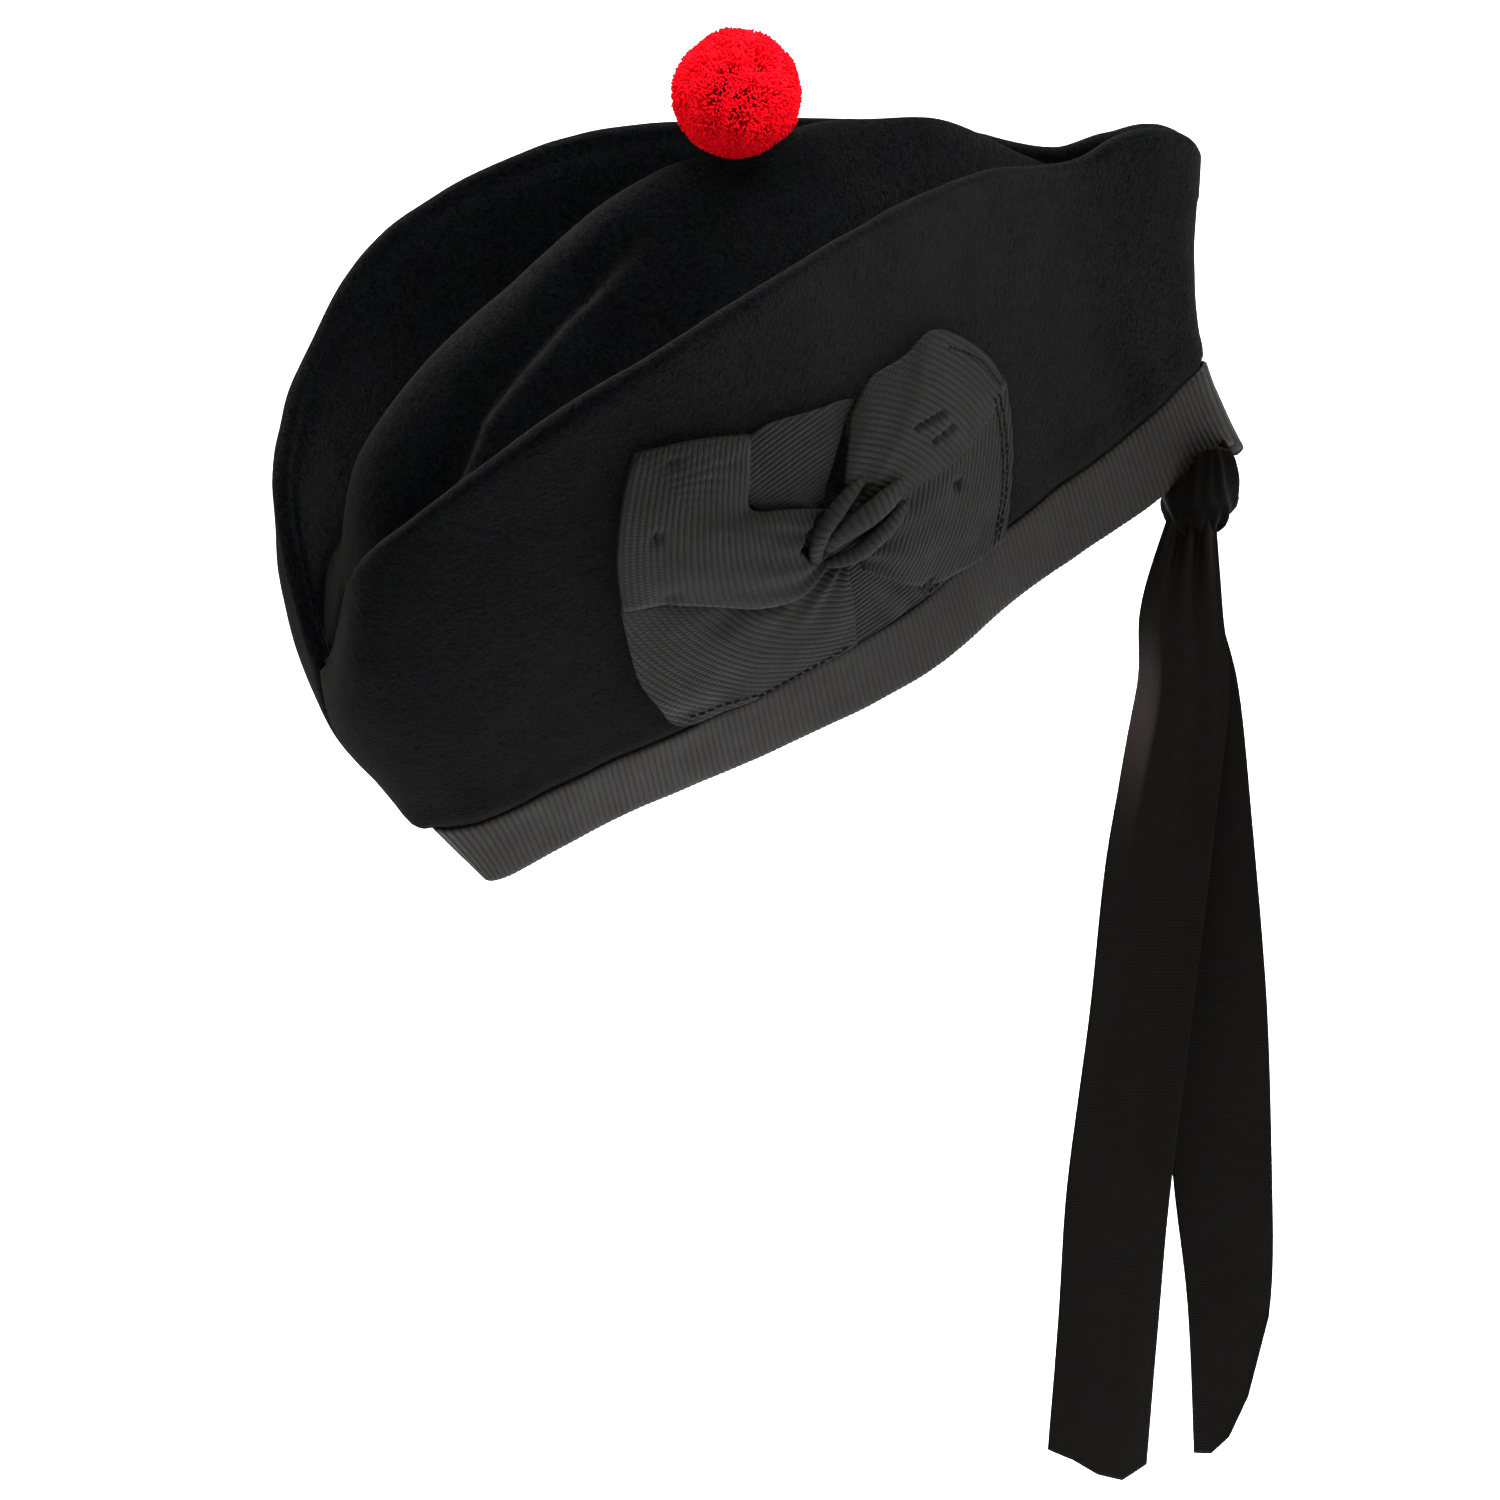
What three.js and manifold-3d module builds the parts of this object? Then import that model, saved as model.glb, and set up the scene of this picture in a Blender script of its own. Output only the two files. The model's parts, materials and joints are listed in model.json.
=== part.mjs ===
// A glengarry: a boat-shaped felted wool hat with a grosgrain band, a ribbon cockade on the wearer's
// left wall, a red tourie on the crown's ridge, and two ribbon tails that hang from a knot at the rear.
// Millimetres. The front points to -Y, the wearer's left to +X, and +Z is up. The origin is the middle
// of the head opening.
import * as THREE from "three";
import { mergeVertices } from "three/addons/utils/BufferGeometryUtils.js";
import Module from "manifold-3d";

// Driving dimensions.
const NOSE_DOWN = 18; // degrees that the hat's front dips, as it is worn
const FELT = 2.2; // thickness of the felted wool
const ROLL = 3; // radius of the rolled edge between a wall and the crown
const BAND_WIDE = 26; // width of the grosgrain band
const BAND_THICK = 1;
const BAND_RECESS = 1.4; // the wool is drawn in under the band by this much
const RIBBON = 1.1; // thickness of a layer of the cockade's ribbon
const GAP = 0.3; // between neighbouring pieces
const TOURIE_RADIUS = 18.5;
const TAIL_THICK = 1;

// The hat's section at stations from the front seam to the rear seam, before it is tipped nose down.
// rimY, rimZ, nearX, farX: the lower edge's place along the hat, its height, and its half widths on
// the wearer's left and right. topY, topX, topZ: the top of the rolled edge. ridgeZ: the crown's centre
// ridge. nearDip, farDip: how deep the crown's two valleys lie below the rolled edge. bellyY, bellyX:
// how far the wall bulges half way up.
const COLUMNS = [
  "rimY", "rimZ", "nearX", "farX", "topY", "topX", "topZ", "ridgeZ", "nearDip", "farDip", "bellyY",
  "bellyX",
];
const SIDEWAYS = ["topX", "bellyX"]; // the columns that change sign across a seam
const STATIONS = [
  [-131, 1.3, 0, 0, -155, 0, 93, 91, 0, 0, -9, 0],
  [-127, 1.5, 3.5, 4.5, -142.5, 28, 131, 114, 20, 22, -9, 2],
  [-116, 2.5, 6, 9, -126, 44, 146, 142, 25, 32, -6, 3],
  [-100, 3.8, 9, 15, -107, 55, 156, 156, 28, 38, -2, 4],
  [-83, 4.9, 13, 22, -89, 63, 163, 164, 30, 42, 0, 4],
  [-65, 5.8, 17.5, 29.5, -69, 68, 168, 169, 30, 43, 0, 4],
  [-45, 6.5, 22.5, 37, -48, 69.5, 170, 174, 30, 42, 0, 4],
  [-26, 7, 25.5, 42, -28, 67, 170, 179, 29, 40, 0, 4],
  [-6, 7.3, 27, 44, -7, 62, 168.5, 181, 27, 37, 0, 4],
  [13, 7.3, 26, 42.5, 13, 54, 165, 179, 25, 33, 0, 3],
  [33, 7, 19.5, 36, 34, 45, 159.5, 174, 22, 28, 0, 3],
  [53, 6.4, 13, 28, 55, 35, 152.5, 165, 18, 23, 0, 2],
  [73, 5.6, 9, 20, 76, 24.5, 143.5, 150, 14, 17, -1, 1],
  [92, 5.2, 7, 14, 97, 15, 130, 129, 9, 10, -3, 0],
  [103, 6.5, 6.4, 10.5, 110, 11, 124.5, 118, 7, 8, -4, 0],
  [114, 8.8, 5.7, 8, 123, 8.5, 123, 116, 5, 6, -6, 0],
  [123, 10.6, 4.8, 6, 136, 6.5, 118.5, 112, 4, 4, -8, 0],
  [129, 11.5, 3.3, 3.8, 146, 4, 111, 107, 2, 2, -10, 0],
  [131, 11.5, 0, 0, 149, 0, 103, 101, 0, 0, -11, 0],
];
const LAST = STATIONS.length - 1;
const STEPS = 2; // loft sections in each interval of the table
const WALL_FOOT = [0, 12, BAND_WIDE + 0.5, BAND_WIDE + 4.5]; // heights up a wall that get a section
const WALL_SHARE = [0.12, 0.27, 0.42, 0.57, 0.72, 0.86, 0.95]; // and shares of the way on to the top
const ROLL_TURN = [0, 45, 90, 135, 180]; // degrees round the rolled edge, from the wall to the crown
const CROWN_SHARE = [0.93, 0.85, 0.74, 0.62, 0.5, 0.38, 0.26, 0.13, 0, -0.13, -0.27, -0.42, -0.56,
  -0.68, -0.8, -0.91];
const NEAR_VALLEY = 0.74; // the valleys' places, as shares of the crown's half width
const FAR_VALLEY = -0.62;
const CREASE = { share: 0.36, depth: 5, width: 0.12 }; // the second fold in the crown's near half
const TOURIE_AT = 18.5; // along the hat
const TOURIE_ROW = 9.35; // the same place as a station
const TOURIE_SUNK = 5; // how deep it sits in the ridge
const RIDGE_DIMPLE = { depth: 5, reach: 15, spread: 0.3 }; // its stitches draw the ridge down

// The knot's centre on the near wall: along the hat, and up the wall from the lower edge.
const KNOT_AT = [-13, 74];
// Outlines of the cockade's layers as fans that open from the knot. Each row is a point of the outer
// edge, along the hat and up the wall.
const COCKADE = {
  cockade_base: {
    lift: 0.9, puff: 0, edge: [
      [-72, 100], [-75, 84], [-75, 66], [-72, 50], [-66, 31], [-50, 29], [-33, 28.5], [-15, 28],
      [4, 28], [22, 28], [42, 28], [48, 42], [53, 60], [54, 76], [46, 92], [34, 108], [18, 108],
      [2, 104], [-4, 104], [-10, 118], [-24, 124], [-36, 124], [-46, 130], [-58, 136], [-66, 120],
    ],
  },
  cockade_front_loop: {
    lift: 2.4, puff: 4, edge: [
      [-36, 107], [-44, 134], [-60, 141], [-66, 130], [-72, 111], [-74, 96], [-64, 89],
    ],
  },
  cockade_rear_loop: {
    lift: 2.4, puff: 4, edge: [
      [11, 37], [30, 32], [42, 29], [49, 42], [54, 62], [50, 70],
    ],
  },
  cockade_upper_loop: {
    lift: 2.4, puff: 3, edge: [
      [55, 78], [49, 91], [36, 113], [22, 113], [10, 115], [0, 108],
    ],
  },
};
const PINCH = 8; // the layers are gathered to this radius at the knot
const FAN_RINGS = [0, 0.12, 0.3, 0.5, 0.7, 0.87, 1]; // from the gathers out to the edge

// The ribbon knot below the rear end of the band: its centre and half sizes, before tipping.
const TIE_KNOT = { at: [3, 115, -2.8], half: [8, 13, 13.5] };
// The tails hang in the upright frame. Rows go down each ribbon: x, y and z of its middle, its width,
// and the heading of its width in degrees from +X.
const TAILS = {
  tail_left: {
    endDrop: [-4, 0, 6, 9, 4],
    rows: [
      [6, 107, 22, 15, 62], [8, 103, 0, 24, 64], [8, 101, -30, 30, 66], [7, 98, -80, 31, 66],
      [5, 94, -140, 31, 65], [2, 89, -200, 31, 66], [-1, 86, -250, 31, 68], [-3, 84, -302, 31, 69],
    ],
  },
  tail_right: {
    endDrop: [12, 11, 4, -12, -42],
    rows: [
      [1, 109, 22, 15, 60], [2, 107, 0, 24, 58], [2, 109, -30, 30, 57], [3, 114, -80, 31, 56],
      [4, 118, -140, 31, 57], [4, 122, -200, 31, 59], [4.5, 126.5, -250, 30, 58],
      [5, 129.5, -299, 25.5, 54],
    ],
  },
};

const radians = (degrees) => (degrees * Math.PI) / 180;
const clamp = THREE.MathUtils.clamp;
const wasm = await Module();
wasm.setup();

// The table's columns at a station t, which may lie between two rows. Past either seam the hat's other
// side follows on, so the walls run round both ends without a point.
function station(t) {
  const row = (i) => {
    const inside = STATIONS[clamp(i < 0 ? -i : i > LAST ? 2 * LAST - i : i, 0, LAST)];
    if (i >= 0 && i <= LAST) return inside;
    const swap = { nearX: "farX", farX: "nearX" };
    return COLUMNS.map((name, k) => {
      if (swap[name]) return -inside[COLUMNS.indexOf(swap[name])];
      return SIDEWAYS.includes(name) ? -inside[k] : inside[k];
    });
  };
  const i = Math.min(Math.floor(t), LAST - 1);
  const f = t - i;
  const [a, b, c, d] = [row(i - 1), row(i), row(i + 1), row(i + 2)];
  const values = {};
  COLUMNS.forEach((name, k) => {
    values[name] = b[k] + 0.5 * f * (c[k] - a[k] + f * (2 * a[k] - 5 * b[k] + 4 * c[k] - d[k]
      + f * (3 * (b[k] - c[k]) + d[k] - a[k])));
  });
  return values;
}

// A point of a wall: side 1 is the wearer's left, and v runs from the rim to the rolled edge's middle.
function wallLine(t, side, v) {
  const s = station(clamp(t, 0, LAST));
  const bulge = Math.sin(Math.PI * clamp(v, 0, 1));
  const rimX = side > 0 ? s.nearX : s.farX;
  return new THREE.Vector3(
    side * (rimX + (s.topX - rimX) * v + s.bellyX * bulge),
    s.rimY + (s.topY - s.rimY) * v + s.bellyY * bulge,
    s.rimZ + (s.topZ - ROLL - s.rimZ) * v,
  );
}

// The wall's outward direction.
function wallNormal(t, side, v) {
  const step = 0.02;
  if (t < step || t > LAST - step) {
    const up = wallLine(t, side, v + step).sub(wallLine(t, side, v - step));
    return new THREE.Vector3(0, t < 1 ? -up.z : up.z, t < 1 ? up.y : -up.y).normalize();
  }
  const along = wallLine(t + step, side, v).sub(wallLine(t - step, side, v));
  const up = wallLine(t, side, v + step).sub(wallLine(t, side, v - step));
  return along.cross(up).multiplyScalar(side).normalize();
}

function wallHeight(t, side) {
  return wallLine(t, side, 1).distanceTo(wallLine(t, side, 0));
}

// How far up the wall, from 0 at the rim to 1 at the top, its section's points lie.
function wallRises(t, side) {
  const foot = WALL_FOOT.map((up) => up / wallHeight(t, side));
  const last = foot[foot.length - 1];
  return [...foot, ...WALL_SHARE.map((share) => last + share * (1 - last))];
}

// A point of the wall's outer face, moved out by lift. The wool is drawn in where the band covers it.
function wallPoint(t, side, v, lift = 0) {
  const up = v * wallHeight(t, side);
  const drawnIn = BAND_RECESS * (1 - THREE.MathUtils.smoothstep(up, BAND_WIDE, BAND_WIDE + 4));
  return wallLine(t, side, v).addScaledVector(wallNormal(t, side, v), lift - drawnIn);
}

// The rolled edge at a station, shrunk by inset.
function rolledEdge(t, side, inset) {
  const s = station(t);
  const outward = wallNormal(t, side, 1).setZ(0).normalize();
  const roll = t > LAST / 2 ? ROLL * clamp(s.topX / 8, 0, 1) : ROLL;
  const middle = wallLine(t, side, 1).addScaledVector(outward, -roll);
  return ROLL_TURN.map((turn) => {
    const radius = Math.max(roll - inset, 0.2 * roll);
    return middle.clone()
      .addScaledVector(outward, radius * Math.cos(radians(turn)))
      .add(new THREE.Vector3(0, 0, radius * Math.sin(radians(turn))));
  });
}

// The crown's height at a share of its half width, +1 at the near wall and -1 at the far one.
function crownHeight(s, share) {
  const start = s.topZ - ROLL - 1;
  const knots = [
    [1, start], [NEAR_VALLEY, s.topZ - s.nearDip], [0, s.ridgeZ], [FAR_VALLEY, s.topZ - s.farDip],
    [-1, start],
  ];
  const i = clamp(knots.findIndex((k) => share >= k[0]), 1, 4);
  const f = (knots[i - 1][0] - share) / (knots[i - 1][0] - knots[i][0]);
  const soft = 0.5 - 0.5 * Math.cos(Math.PI * f);
  const crease = CREASE.depth * clamp(s.topX / 50, 0, 1)
    * Math.exp(-(((share - CREASE.share) / CREASE.width) ** 2));
  const sewn = RIDGE_DIMPLE.depth * Math.exp(-(((s.topY - TOURIE_AT) / RIDGE_DIMPLE.reach) ** 2))
    * Math.exp(-((share / RIDGE_DIMPLE.spread) ** 2));
  return THREE.MathUtils.lerp(knots[i - 1][1], knots[i][1], soft) - crease - sewn;
}

// The closed outline of the hat at one station, from the near rim over the crown to the far rim.
function outerSection(t) {
  const s = station(t);
  const near = rolledEdge(t, 1, 0);
  const far = rolledEdge(t, -1, 0);
  const a = near[near.length - 1];
  const b = far[far.length - 1];
  const crown = CROWN_SHARE.map((share) => {
    const p = a.clone().lerp(b, (1 - share) / 2);
    if (s.topX > 0.01) p.z = crownHeight(s, share);
    return p;
  });
  return [
    ...wallRises(t, 1).map((v) => wallPoint(t, 1, v)), ...near, ...crown, ...far.reverse(),
    ...wallRises(t, -1).map((v) => wallPoint(t, -1, v)).reverse(),
  ];
}

// The same outline for the hollow: FELT inside the wool, open past the rim, and under a low roof where
// the two walls close on each other at the rear.
const PAST_RIM = -0.12; // the hollow's reach below the rim, as a share of the wall
const FIN_FROM = 13; // the station where the walls start to close
const FIN_ROOF = 0.7; // the hollow's height from there on, as a share of the wall
function innerSection(t) {
  const least = 0.3 + 0.1 * Math.min(t, LAST - t);
  const squeeze = (p, side) => {
    p.x = side > 0 ? Math.max(p.x, least) : Math.min(p.x, -least);
    return p;
  };
  const walls = [1, -1].map((side) => [PAST_RIM, ...wallRises(t, side).slice(1)].map((v) => {
    const rise = t > FIN_FROM ? Math.min(v, FIN_ROOF) : v;
    const p = wallLine(t, side, rise);
    const depth = FELT + (rise * wallHeight(t, side) < BAND_WIDE ? BAND_RECESS : 0);
    return squeeze(p.addScaledVector(wallNormal(t, side, clamp(rise, 0, 1)), -depth), side);
  }));
  let [near, far] = [rolledEdge(t, 1, FELT), rolledEdge(t, -1, FELT)];
  let crown;
  if (t > FIN_FROM) {
    const [a, b] = walls.map((wall) => wall[wall.length - 1].clone().add(new THREE.Vector3(0, 0, 1)));
    near = ROLL_TURN.map((turn) => a.clone().add(new THREE.Vector3(-turn / 900, 0, turn / 180)));
    far = ROLL_TURN.map((turn) => b.clone().add(new THREE.Vector3(turn / 900, 0, turn / 180)));
    const [c, d] = [near[near.length - 1], far[far.length - 1]];
    crown = CROWN_SHARE.map((share) => c.clone().lerp(d, (1 - share) / 2)
      .add(new THREE.Vector3(0, 0, 1 - share * share)));
  } else {
    const outer = outerSection(t).slice(WALL_FOOT.length + WALL_SHARE.length + ROLL_TURN.length - 1);
    crown = CROWN_SHARE.map((share, i) => {
      const slope = outer[i + 2].clone().sub(outer[i]);
      const across = Math.hypot(slope.x, slope.y);
      const down = new THREE.Vector3(slope.x, slope.y, 0).normalize().multiplyScalar(slope.z)
        .add(new THREE.Vector3(0, 0, -across)).normalize();
      return outer[i + 1].clone().addScaledVector(down, t === 0 ? 0 : FELT);
    });
    if (t === 0) {
      const low = near[near.length - 1].clone().add(new THREE.Vector3(0, 0, -FELT));
      crown = CROWN_SHARE.map(() => low.clone());
    }
  }
  return [...walls[0], ...near, ...crown, ...far.reverse(), ...walls[1].reverse()];
}

// A mesh geometry from triangles of points.
function geometryOf(triangles) {
  return new THREE.BufferGeometry().setFromPoints(triangles.flat());
}

// Closes a row of like sections into one body: the side faces, the strip between each section's two
// ends and, where capped, rungs between the near and far halves of the first and last section. The
// hat's own end sections have shrunk to its seams and need none. Faces shrunk to a line are left out.
function loft(sections, capped) {
  const triangles = [];
  const add = (a, b, c) => {
    const area = b.clone().sub(a).cross(c.clone().sub(a)).length();
    if (area > 1e-5) triangles.push([a, b, c]);
  };
  const count = sections[0].length;
  for (let i = 0; i + 1 < sections.length; i += 1) {
    for (let j = 0; j < count; j += 1) {
      const k = (j + 1) % count;
      const [a, b] = [sections[i][j], sections[i][k]];
      const [c, d] = [sections[i + 1][j], sections[i + 1][k]];
      add(a, b, d);
      add(a, d, c);
    }
  }
  const cap = (section, turned) => {
    for (let j = 0; 2 * j + 2 < count; j += 1) {
      const [a, b, c, d] = [j, j + 1, count - 2 - j, count - 1 - j].map((k) => section[k]);
      if (turned) [[a, c, b], [a, d, c]].forEach((t) => add(...t));
      else [[a, b, c], [a, c, d]].forEach((t) => add(...t));
    }
  };
  if (capped) {
    cap(sections[0], true);
    cap(sections[sections.length - 1], false);
  }
  return geometryOf(triangles);
}

function solidOf(geometry) {
  const bare = new THREE.BufferGeometry().setAttribute("position", geometry.getAttribute("position"));
  const merged = mergeVertices(bare, 1e-3);
  const solid = new wasm.Manifold(new wasm.Mesh({
    numProp: 3,
    vertProperties: merged.attributes.position.array,
    triVerts: new Uint32Array(merged.index.array),
  }));
  if (solid.volume() > 0) return solid;
  const turned = new Uint32Array(merged.index.array);
  for (let i = 0; i < turned.length; i += 3) [turned[i + 1], turned[i + 2]] = [turned[i + 2], turned[i + 1]];
  return new wasm.Manifold(new wasm.Mesh({
    numProp: 3, vertProperties: merged.attributes.position.array, triVerts: turned,
  }));
}

function geometryFrom(solid) {
  const mesh = solid.getMesh();
  const geometry = new THREE.BufferGeometry();
  geometry.setAttribute("position", new THREE.BufferAttribute(new Float32Array(mesh.vertProperties), 3));
  geometry.setIndex(new THREE.BufferAttribute(new Uint32Array(mesh.triVerts), 1));
  geometry.computeVertexNormals();
  return geometry;
}

const steps = (from, to, each) => Array.from({ length: Math.round((to - from) * each) + 1 },
  (_, i) => from + i / each);

// The wool body: the outer loft less the hollow.
const outerSolid = solidOf(loft(steps(0, LAST, STEPS).map(outerSection), false));
const hollowStations = [
  ...steps(0, 3, STEPS), ...steps(4, FIN_FROM, 1), ...steps(FIN_FROM + 0.5, LAST - 1, 1),
];
const hollowSolid = solidOf(loft(hollowStations.map(innerSection), true));
const woolSolid = outerSolid.subtract(hollowSolid);

// The band: an L-shaped section that follows the lower edge all the way round, with a lip under it.
const BAND_OUT = BAND_THICK + GAP;
const BAND_SECTION = [ // out from the wool, up the wall, and level inwards for the lip
  [BAND_OUT, BAND_WIDE, 0], [BAND_OUT, WALL_FOOT[1], 0], [BAND_OUT, -GAP - BAND_THICK, 0],
  [BAND_OUT, -GAP - BAND_THICK, BAND_THICK + FELT], [GAP, -GAP, FELT], [GAP, -GAP, 0],
  [GAP, WALL_FOOT[1], 0], [GAP, BAND_WIDE, 0],
];
function bandSection(t, side) {
  const high = wallHeight(t, side);
  return BAND_SECTION.map(([lift, up, inwards]) => {
    const p = wallLine(t, side, up / high);
    const normal = wallNormal(t, side, clamp(up / high, 0, 1));
    const level = normal.clone().setZ(0).normalize();
    return p.addScaledVector(normal, lift - BAND_RECESS).addScaledVector(level, -inwards);
  });
}
const bandRound = [
  ...steps(0, LAST, STEPS).map((t) => bandSection(t, 1)),
  ...steps(0, LAST, STEPS).reverse().slice(1, -1).map((t) => bandSection(t, -1)),
];
function ring(sections) {
  const triangles = [];
  const count = sections[0].length;
  sections.forEach((now, i) => {
    const next = sections[(i + 1) % sections.length];
    for (let j = 0; j < count; j += 1) {
      const k = (j + 1) % count;
      triangles.push([now[j], now[k], next[k]], [now[j], next[k], next[j]]);
    }
  });
  return geometryOf(triangles);
}
const bandSolid = solidOf(ring(bandRound));

// A place on the near wall: along the hat at the rim, up the wall, and out from the wool.
function onWall(along, up, out) {
  let [low, high] = [0, LAST];
  for (let i = 0; i < 40; i += 1) {
    const middle = (low + high) / 2;
    if (station(middle).rimY < along) low = middle;
    else high = middle;
  }
  const rise = up / wallHeight(low, 1);
  return wallLine(low, 1, rise).addScaledVector(wallNormal(low, 1, rise), out);
}

// One layer of the cockade: a fan of ribbon from the knot to its outer edge, puffed in its middle.
function cockadeLayer({ lift, puff, edge }) {
  const closed = puff === 0;
  const outline = new THREE.CatmullRomCurve3(edge.map(([x, y]) => new THREE.Vector3(x, y, 0)), closed,
    "centripetal").getPoints(closed ? 32 : 12);
  if (closed) outline.pop();
  const grid = outline.map((end, i) => FAN_RINGS.map((share) => {
    const from = new THREE.Vector3(KNOT_AT[0], KNOT_AT[1], 0);
    from.addScaledVector(end.clone().sub(from).normalize(), PINCH);
    const at = from.lerp(end, share);
    const across = closed ? 1 : Math.sin((Math.PI * i) / (outline.length - 1));
    const rise = puff * Math.sin(Math.PI * Math.min(1, 0.15 + share * 0.85)) * (0.25 + 0.75 * across);
    return [onWall(at.x, at.y, lift), onWall(at.x, at.y, lift + RIBBON + Math.max(rise, 0))];
  }));
  const triangles = [];
  const quad = (a, b, c, d) => triangles.push([a, b, c], [a, c, d]);
  const rows = closed ? grid.length : grid.length - 1;
  const last = FAN_RINGS.length - 1;
  for (let i = 0; i < rows; i += 1) {
    const [now, next] = [grid[i], grid[(i + 1) % grid.length]];
    for (let j = 0; j < last; j += 1) {
      quad(now[j][1], now[j + 1][1], next[j + 1][1], next[j][1]);
      quad(now[j][0], next[j][0], next[j + 1][0], now[j + 1][0]);
    }
    quad(now[last][1], now[last][0], next[last][0], next[last][1]);
    quad(now[0][0], now[0][1], next[0][1], next[0][0]);
  }
  if (!closed) {
    const [first, end] = [grid[0], grid[grid.length - 1]];
    for (let j = 0; j < last; j += 1) {
      quad(first[j][0], first[j + 1][0], first[j + 1][1], first[j][1]);
      quad(end[j][0], end[j][1], end[j + 1][1], end[j + 1][0]);
    }
  }
  return solidOf(geometryOf(triangles));
}

// A rounded lump with soft grooves, for the knots and the tourie.
function lump(radii, detail, groove) {
  const geometry = new THREE.IcosahedronGeometry(1, detail);
  const position = geometry.getAttribute("position");
  const p = new THREE.Vector3();
  for (let i = 0; i < position.count; i += 1) {
    p.fromBufferAttribute(position, i);
    const size = 1 - groove(p);
    position.setXYZ(i, p.x * radii[0] * size, p.y * radii[1] * size, p.z * radii[2] * size);
  }
  return geometry;
}

// The tourie's short locks of wool stand out as rounded tufts, one for each point of a spiral.
const TUFTS = 90;
const tuftPoints = Array.from({ length: TUFTS }, (_, i) => {
  const z = 1 - (2 * i + 1) / TUFTS;
  const turn = i * Math.PI * (3 - Math.sqrt(5));
  return new THREE.Vector3(Math.sqrt(1 - z * z) * Math.cos(turn), Math.sqrt(1 - z * z) * Math.sin(turn), z);
});
const tuftGroove = (p) => {
  const nearest = Math.max(...tuftPoints.map((q) => q.dot(p)));
  return 0.05 * clamp((Math.acos(clamp(nearest, -1, 1)) / 0.2) ** 2, 0, 1);
};
const tourieHigh = station(TOURIE_ROW).ridgeZ + TOURIE_RADIUS - TOURIE_SUNK;
const tourieBall = lump([TOURIE_RADIUS, TOURIE_RADIUS, TOURIE_RADIUS], 6, tuftGroove)
  .translate(0, TOURIE_AT, tourieHigh);
const tourieSolid = solidOf(tourieBall).subtract(outerSolid.translate([0, 0, GAP + 0.1]));

const COCKADE_KNOT = { half: [8, 9, 5], out: 7 }; // its half sizes and its middle's height off the wool
const cockadeKnot = lump(COCKADE_KNOT.half, 3, (p) => 0.12 * Math.max(0, Math.cos(3 * Math.atan2(p.y, p.x)))
  + 0.1 * Math.exp(-((p.x + p.y) ** 2) * 20));

const TIE_FOLDS = 4; // soft folds across the ribbon knot
const tieLump = lump(TIE_KNOT.half, 4, (p) => 0.07 * Math.cos(TIE_FOLDS * Math.PI * p.y)
  * (1 - Math.abs(p.z)));
// It is drawn up against the band's lower edge, whose shape it takes.
const AROUND = [[GAP, 0, 0], [-GAP, 0, 0], [0, GAP, 0], [0, -GAP, 0], [0, 0, GAP], [0, 0, -GAP]];
const grown = (solid) => wasm.Manifold.union(AROUND.map((move) => solid.translate(move)));
const tieSolid = solidOf(tieLump.translate(...TIE_KNOT.at)).subtract(grown(bandSolid))
  .subtract(grown(outerSolid));
const tieUpright = tieSolid.rotate([NOSE_DOWN, 0, 0]);

// A ribbon tail: cross sections down its length, its cut end dropping by endDrop across its width. It
// comes out from under the knot.
const TAIL_ACROSS = [-1, -0.5, 0, 0.5, 1];
const TAIL_SECTIONS = 22;
const TAIL_CUP = 1.2; // how far the ribbon's middle stands out from its edges
const CUT_FROM = 0.65; // the share of the length from which the rows lean to the cut
function tail({ rows, endDrop }) {
  const columns = rows[0].map((_, k) => (
    new THREE.CatmullRomCurve3(rows.map((row) => new THREE.Vector3(row[k], 0, 0)))));
  const many = TAIL_SECTIONS;
  const at = (share) => columns.map((curve) => curve.getPoint(share).x);
  const grid = Array.from({ length: many + 1 }, (_, i) => {
    const share = i / many;
    const [x, y, z, wide, heading] = at(share);
    const across = new THREE.Vector3(Math.cos(radians(heading)), Math.sin(radians(heading)), 0);
    const out = new THREE.Vector3(across.y, -across.x, 0);
    return TAIL_ACROSS.map((q, k) => {
      const lower = endDrop[k] * clamp((share - CUT_FROM) / (1 - CUT_FROM), 0, 1) ** 2;
      const cup = TAIL_CUP * (1 - q * q) * Math.sin(share * 7 + 1);
      const middle = new THREE.Vector3(x, y, z - lower).addScaledVector(across, (q * wide) / 2)
        .addScaledVector(out, cup);
      return [
        middle.clone().addScaledVector(out, TAIL_THICK / 2),
        middle.clone().addScaledVector(out, -TAIL_THICK / 2),
      ];
    });
  });
  const sections = grid.map((row) => [
    ...row.map((pair) => pair[0]), ...row.map((pair) => pair[1]).reverse(),
  ]);
  const triangles = [];
  const quad = (a, b, c, d) => triangles.push([a, b, c], [a, c, d]);
  const count = sections[0].length;
  for (let i = 0; i < many; i += 1) {
    for (let j = 0; j < count; j += 1) {
      const k = (j + 1) % count;
      quad(sections[i][j], sections[i][k], sections[i + 1][k], sections[i + 1][j]);
    }
  }
  for (const end of [0, many]) {
    for (let k = 0; k + 1 < TAIL_ACROSS.length; k += 1) {
      const [a, b] = [grid[end][k], grid[end][k + 1]];
      if (end) quad(a[0], b[0], b[1], a[1]);
      else quad(a[0], a[1], b[1], b[0]);
    }
  }
  return solidOf(geometryOf(triangles)).subtract(grown(tieUpright));
}

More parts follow.
